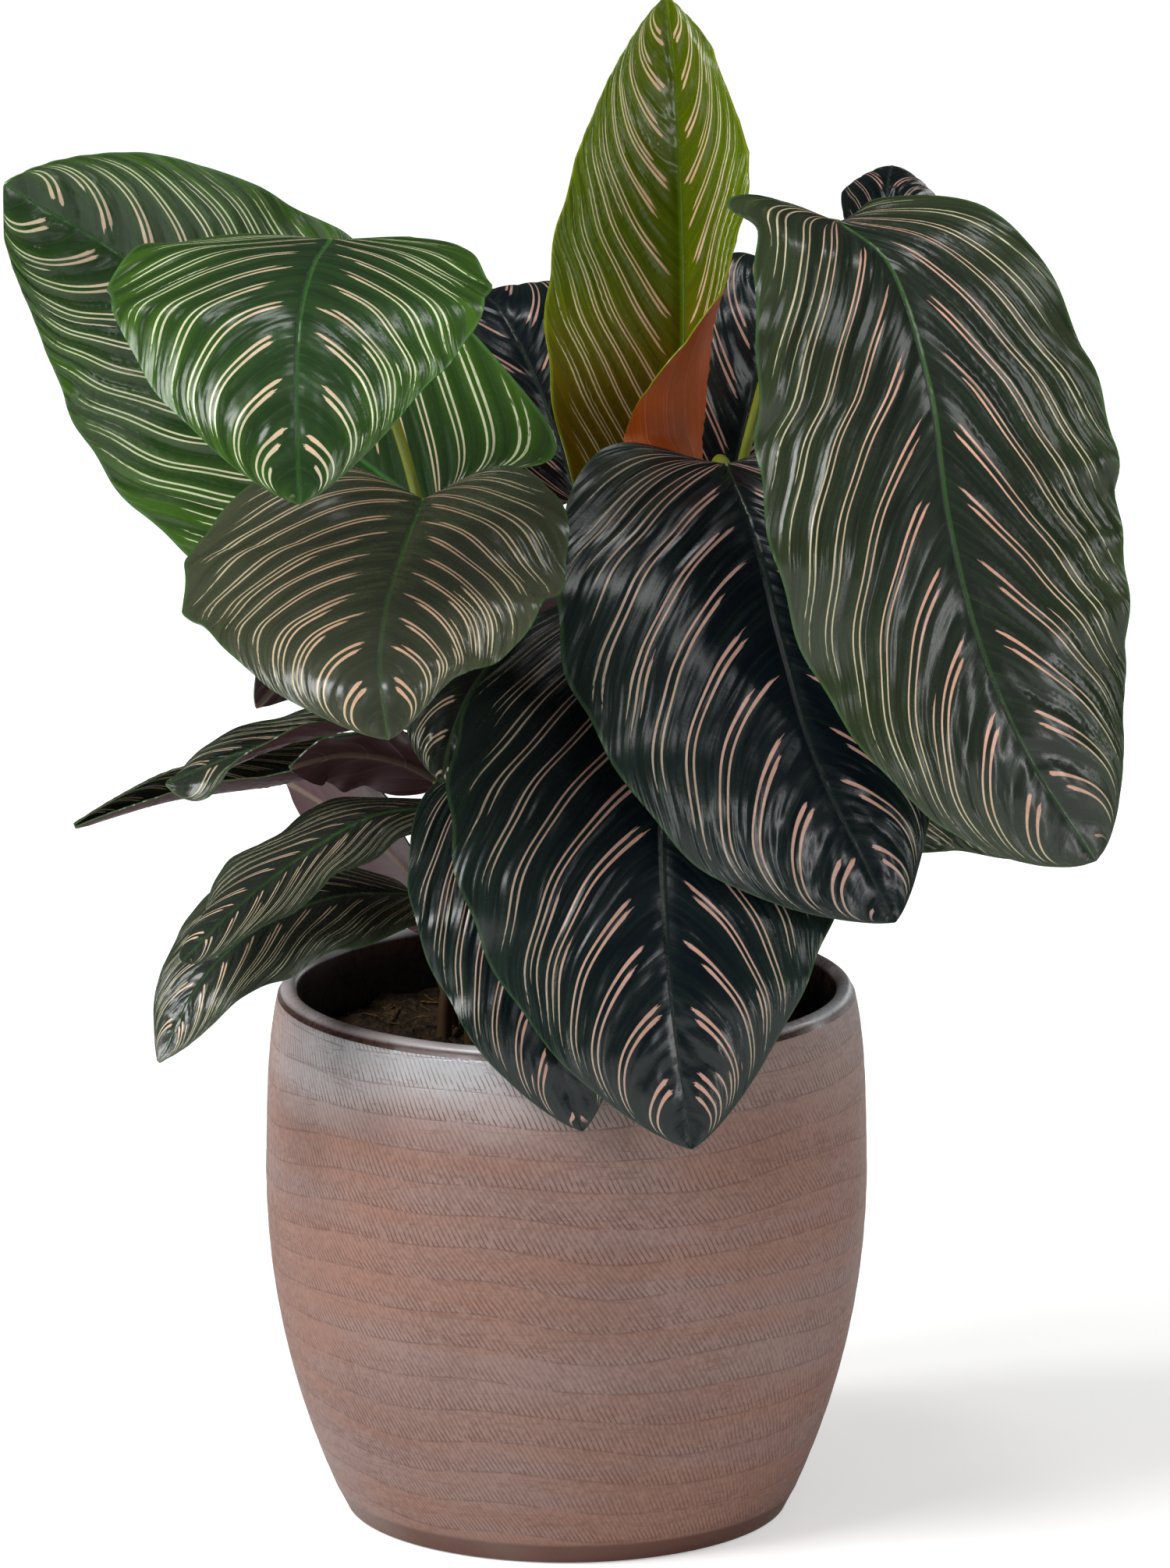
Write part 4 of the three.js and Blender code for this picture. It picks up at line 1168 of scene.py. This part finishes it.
def make_pot(settings, materials):
    """The pot: a grid rolled round its axis, with bands that swell between the throwing lines"""
    profile, start, end = pot_profile()
    angle = np.linspace(0, 2 * math.pi, POT_SIDES + 1)[None, :]
    radius, height = profile[:, 0][:, None], profile[:, 1][:, None]
    steps = np.arange(len(profile))[:, None]
    outer = (steps >= start) & (steps < end)
    band = settings.band / MM
    level = height + 3.2 * wavering(angle, height, 4)
    share = (level / band) % 1
    rng = np.random.default_rng(12)
    tall = rng.uniform(0.35, 1.0, 40)[np.clip((level / band).astype(int), 0, 39)]
    swell = settings.swell / MM * tall * (np.sin(math.pi * share) ** 0.6 - 1)
    ease = np.clip((POT_HEIGHT - 4 - height) / 8, 0, 1) * np.clip((height - POT_FOOT_BAND) / 4, 0, 1)
    radius = radius + np.where(outer, swell * ease, 0)
    points = np.stack(
        [radius * np.sin(angle), -radius * np.cos(angle), np.broadcast_to(height, radius.shape)], axis=2
    )
    piece, row, column = new_grid("combed_pot", len(profile), POT_SIDES + 1)
    set_places(piece, points[row, column] * MM)
    add_uv_map(piece, "pot", np.stack([column / POT_SIDES, profile[row, 1] / POT_HEIGHT], axis=1))
    for material in materials:
        piece.data.materials.append(material)
    close_seams(piece)
    for face in piece.data.polygons:
        centre = face.center / MM
        wide = math.hypot(centre.x, centre.y)
        plain = centre.z > POT_HEIGHT - 4.5 or (wide < float(pot_radius(centre.z)) - 3 and centre.z > 2)
        face.material_index = 1 if plain else 0
    smooth(piece, 45)
    return piece


def soil_radius():
    """Radius of the soil, a little inside the pot's wall"""
    return float(inner_radius(SOIL_EDGE)) - 0.4


def soil_height(x, y, lumps):
    """A low heap at the crown with lumps, level at the wall"""
    heap = 10 * np.exp(-((np.hypot(x, y) / 60) ** 2))
    waves = np.sin(x * 0.21 + 1.3 * np.sin(y * 0.13)) * np.sin(y * 0.24 + 0.8 * np.sin(x * 0.17))
    return SOIL_EDGE + heap + lumps * waves


def make_soil(settings, material):
    """The soil: a closed disc with a lumpy top"""
    lumps = settings.lumps / MM
    rings, sides = SOIL_GRID
    edge = soil_radius()
    radius = np.concatenate([[0, edge, edge], np.linspace(edge, 0, rings)])[:, None]
    angle = np.linspace(0, 2 * math.pi, sides + 1)[None, :]
    x, y = radius * np.sin(angle), -radius * np.cos(angle)
    top = soil_height(x, y, lumps)
    rough = 0.9 * np.sin(x * 0.9 + 2 * np.sin(y * 0.5)) * np.sin(y * 1.1 + 1.7 * np.sin(x * 0.6))
    rough += 0.5 * np.sin(x * 2.3 + 3 * np.sin(y * 1.3)) * np.sin(y * 2.1)
    height = np.where(np.arange(len(radius))[:, None] < 3, SOIL_EDGE - 12, top + rough)
    height[2] = (SOIL_EDGE - 4) * np.ones(sides + 1)
    piece, row, column = new_grid("soil_bed", len(radius), sides + 1)
    set_places(piece, np.stack([x, y, height], axis=2)[row, column] * MM)
    piece.data.materials.append(material)
    close_seams(piece)
    smooth(piece, 40)
    return piece


def make_fibres(settings, material):
    """Loose fibres on the soil: one strand, copied with its own length, width, bow and slope"""
    rng = np.random.default_rng(7)
    lumps = settings.lumps / MM
    edge = soil_radius()
    rows, sides = FIBRE_GRID
    strand, row, column = new_grid("soil_fibres", rows, sides + 1)
    turn = column / sides * 2 * math.pi
    along = row / (rows - 1) - 0.5
    thick = 0.5 * np.sqrt(np.clip(1 - (2 * along) ** 4, 0, 1))
    outline = np.stack([along, thick * np.cos(turn), thick * np.sin(turn)], axis=1)
    set_places(strand, outline)
    close_seams(strand, 1e-4)
    shape = read_places(strand)
    faces = [tuple(face.vertices) for face in strand.data.polygons]
    places, loops = [], []
    for number in range(settings.fibres):
        spot = edge * 0.96 * math.sqrt(rng.uniform(0, 1))
        round_to, heading = rng.uniform(0, 2 * math.pi, 2)
        x, y = spot * math.sin(round_to), -spot * math.cos(round_to)
        span, width = rng.uniform(5, 20), rng.uniform(0.35, 1.1)
        bow, tilt = rng.uniform(-0.35, 0.35), rng.uniform(-0.12, 0.12)
        length = shape[:, 0] * span
        breadth = shape[:, 1] * width + bow * span * (shape[:, 0] ** 2 - 0.1)
        turned = np.stack(
            [
                x + length * math.cos(heading) - breadth * math.sin(heading),
                y + length * math.sin(heading) + breadth * math.cos(heading),
                shape[:, 2] * width + length * tilt,
            ],
            axis=1,
        )
        away = np.hypot(turned[:, 0], turned[:, 1])
        turned[:, :2] *= np.minimum(1, (edge - 1) / np.maximum(away, 1))[:, None]
        turned[:, 2] += soil_height(turned[:, 0], turned[:, 1], lumps) + 0.7 * width
        loops.extend(tuple(corner + number * len(shape) for corner in face) for face in faces)
        places.append(turned)
    mesh = bpy.data.meshes.new("soil_fibres")
    mesh.from_pydata((np.vstack(places) * MM).tolist(), [], loops)
    strand.data = mesh
    strand.data.materials.append(material)
    smooth(strand, 60)
    return strand


# Stage


def aim(thing, place, target):
    thing.location = place
    thing.rotation_euler = (Vector(target) - Vector(place)).to_track_quat("-Z", "Y").to_euler()


def add_area_light(name, place, size, power):
    light = bpy.data.lights.new(name, "AREA")
    light.shape = "RECTANGLE"
    light.size, light.size_y = size
    light.energy = power
    lamp = bpy.data.objects.new(name, light)
    bpy.context.scene.collection.objects.link(lamp)
    aim(lamp, place, PLANT_MIDDLE)


def make_floor(settings):
    """A plain pale floor that brightens away from the plant, for the camera alone"""
    bpy.ops.object.select_all(action="DESELECT")
    bpy.ops.mesh.primitive_circle_add(vertices=96, radius=FLOOR_RADIUS, fill_type="NGON", location=(0, 0, 0))
    floor = bpy.context.object
    floor.name = "studio_floor"
    ring = FLOOR_RADIUS / 3
    edit_all(floor, lambda: bpy.ops.mesh.inset(thickness=ring), lambda: bpy.ops.mesh.inset(thickness=ring))
    material, tree, shader = new_material("floor paint", Roughness=0.9, Specular_IOR_Level=0.1)
    place = own_place(tree)
    feed(shader["Base Color"], mixed(noise(place, 3.0), settings.floor, shaded(settings.floor, 0.985)))
    away = place_node("VectorMath", place, operation="LENGTH").outputs["Value"]
    seen = place_node("LightPath", tree=tree).outputs["Is Camera Ray"]
    glow = times(eased(away, 0.1, 1.6, 0.36, 0.80), seen)
    feed(shader["Emission Color"], combined(glow, glow, glow))
    shader["Emission Strength"].default_value = 1.0
    floor.data.materials.append(material)
    return floor


def light_world(scene):
    """A white world for the camera, and a faint fill for everything else"""
    scene.world = bpy.data.worlds.new("studio")
    scene.world.use_nodes = True
    studio = scene.world.node_tree
    sky = studio.nodes["Background"]
    sky.inputs["Color"].default_value = (1, 1, 1, 1)
    rays = place_node("LightPath", tree=studio).outputs
    fill = scaled(rays["Is Diffuse Ray"], 0.16, 0.04)
    feed(sky.inputs["Strength"], maths("MAXIMUM", rays["Is Camera Ray"], fill))


def make_camera(settings):
    lens = bpy.data.cameras.new("camera")
    camera = bpy.data.objects.new("camera", lens)
    bpy.context.scene.collection.objects.link(camera)
    lens.lens = settings.lens
    lens.sensor_width = 36
    lens.clip_end = 60
    target = Vector(CAMERA_TARGET)
    back = Vector((0, -math.cos(settings.elevation), math.sin(settings.elevation)))
    aim(camera, target + back * settings.distance, target)
    return camera


# Operators


def make_groups():
    """Makes the node groups that several materials use, if they aren't there yet"""
    if "Speckle" not in bpy.data.node_groups:
        make_speckle_group()
        make_pinstripe_group()
        make_stripe_cells_group()
        make_comb_group()


class CALATHEA_OT_pot(bpy.types.Operator):
    """Make the combed ceramic pot"""

    bl_idname = "calathea.pot"
    bl_label = "Pot"

    def execute(self, context):
        settings = context.scene.calathea_pot
        make_groups()
        materials = make_combed_glaze(settings), make_plain_glaze(settings)
        hand_over(make_pot(settings, materials), "pot")
        return {"FINISHED"}


class CALATHEA_OT_soil(bpy.types.Operator):
    """Make the soil with its loose fibres"""

    bl_idname = "calathea.soil"
    bl_label = "Soil"

    def execute(self, context):
        settings = context.scene.calathea_soil
        make_groups()
        bed = make_soil_material("potting mix", settings.dark, settings.light)
        coir = make_soil_material("coir fibre", settings.light, settings.fibre)
        hand_over(make_soil(settings, bed), "soil")
        hand_over(make_fibres(settings, coir), "soil")
        return {"FINISHED"}


class CALATHEA_OT_leaves(bpy.types.Operator):
    """Make the striped leaf blades"""

    bl_idname = "calathea.leaves"
    bl_label = "Leaf blades"

    def execute(self, context):
        settings = context.scene.calathea_leaves
        make_groups()
        upper = {kind: make_leaf_material(kind, settings) for kind in KINDS}
        lower = {
            "old": make_underside_material("mature", settings.below, settings.below, settings),
            "new": make_underside_material("new", settings.below_new, settings.below_rose, settings),
        }
        for number, name, leaf in all_leaves():
            kind = leaf["kind"]
            materials = upper[kind], lower.get(kind, lower["old"])
            piece = make_blade(name, leaf, number, settings, materials)
            hand_over(piece, f"leaf_{name}")
        return {"FINISHED"}


class CALATHEA_OT_stalks(bpy.types.Operator):
    """Make the leaf stalks"""

    bl_idname = "calathea.stalks"
    bl_label = "Stalks"

    def execute(self, context):
        settings = context.scene.calathea_stalks
        make_groups()
        skin = make_stalk_material(settings)
        for _, name, leaf in all_leaves():
            piece = make_stalk(name, leaf, settings)
            piece.data.materials.append(skin)
            hand_over(piece, f"stalk_{name}")
        return {"FINISHED"}


class CALATHEA_OT_stage(bpy.types.Operator):
    """Set the floor, the soft lights and the camera"""

    bl_idname = "calathea.stage"
    bl_label = "Stage"

    def execute(self, context):
        settings = context.scene.calathea_stage
        scene = context.scene
        make_floor(settings)
        light_world(scene)
        for name, (place, size, power) in LIGHTS.items():
            add_area_light(name, place, size, power)
        scene.camera = make_camera(settings)
        scene.view_settings.view_transform = "Standard"
        return {"FINISHED"}


class CALATHEA_PT_panel(bpy.types.Panel):
    """Lists the pieces of the plant"""

    bl_idname = "CALATHEA_PT_panel"
    bl_label = "Calathea"
    bl_space_type = "VIEW_3D"
    bl_region_type = "UI"
    bl_category = "Calathea"

    def draw(self, context):
        for settings, operator in PIECES:
            box = self.layout.box()
            box.operator(operator.bl_idname)
            group = getattr(context.scene, settings)
            for name in group.__annotations__:
                box.prop(group, name)


PIECES = (
    ("calathea_pot", CALATHEA_OT_pot),
    ("calathea_soil", CALATHEA_OT_soil),
    ("calathea_leaves", CALATHEA_OT_leaves),
    ("calathea_stalks", CALATHEA_OT_stalks),
    ("calathea_stage", CALATHEA_OT_stage),
)
SETTINGS = {
    "calathea_pot": PotSettings,
    "calathea_soil": SoilSettings,
    "calathea_leaves": LeafSettings,
    "calathea_stalks": StalkSettings,
    "calathea_stage": StageSettings,
}
CLASSES = (*SETTINGS.values(), *(operator for _, operator in PIECES), CALATHEA_PT_panel)


def register():
    for made in CLASSES:
        bpy.utils.register_class(made)
    for name, group in SETTINGS.items():
        setattr(bpy.types.Scene, name, bpy.props.PointerProperty(type=group))


def unregister():
    for name in SETTINGS:
        delattr(bpy.types.Scene, name)
    for made in reversed(CLASSES):
        bpy.utils.unregister_class(made)


def main():
    register()
    bpy.ops.calathea.pot()
    bpy.ops.calathea.soil()
    bpy.ops.calathea.leaves()
    bpy.ops.calathea.stalks()
    bpy.ops.calathea.stage()


if __name__ == "__main__":
    main()
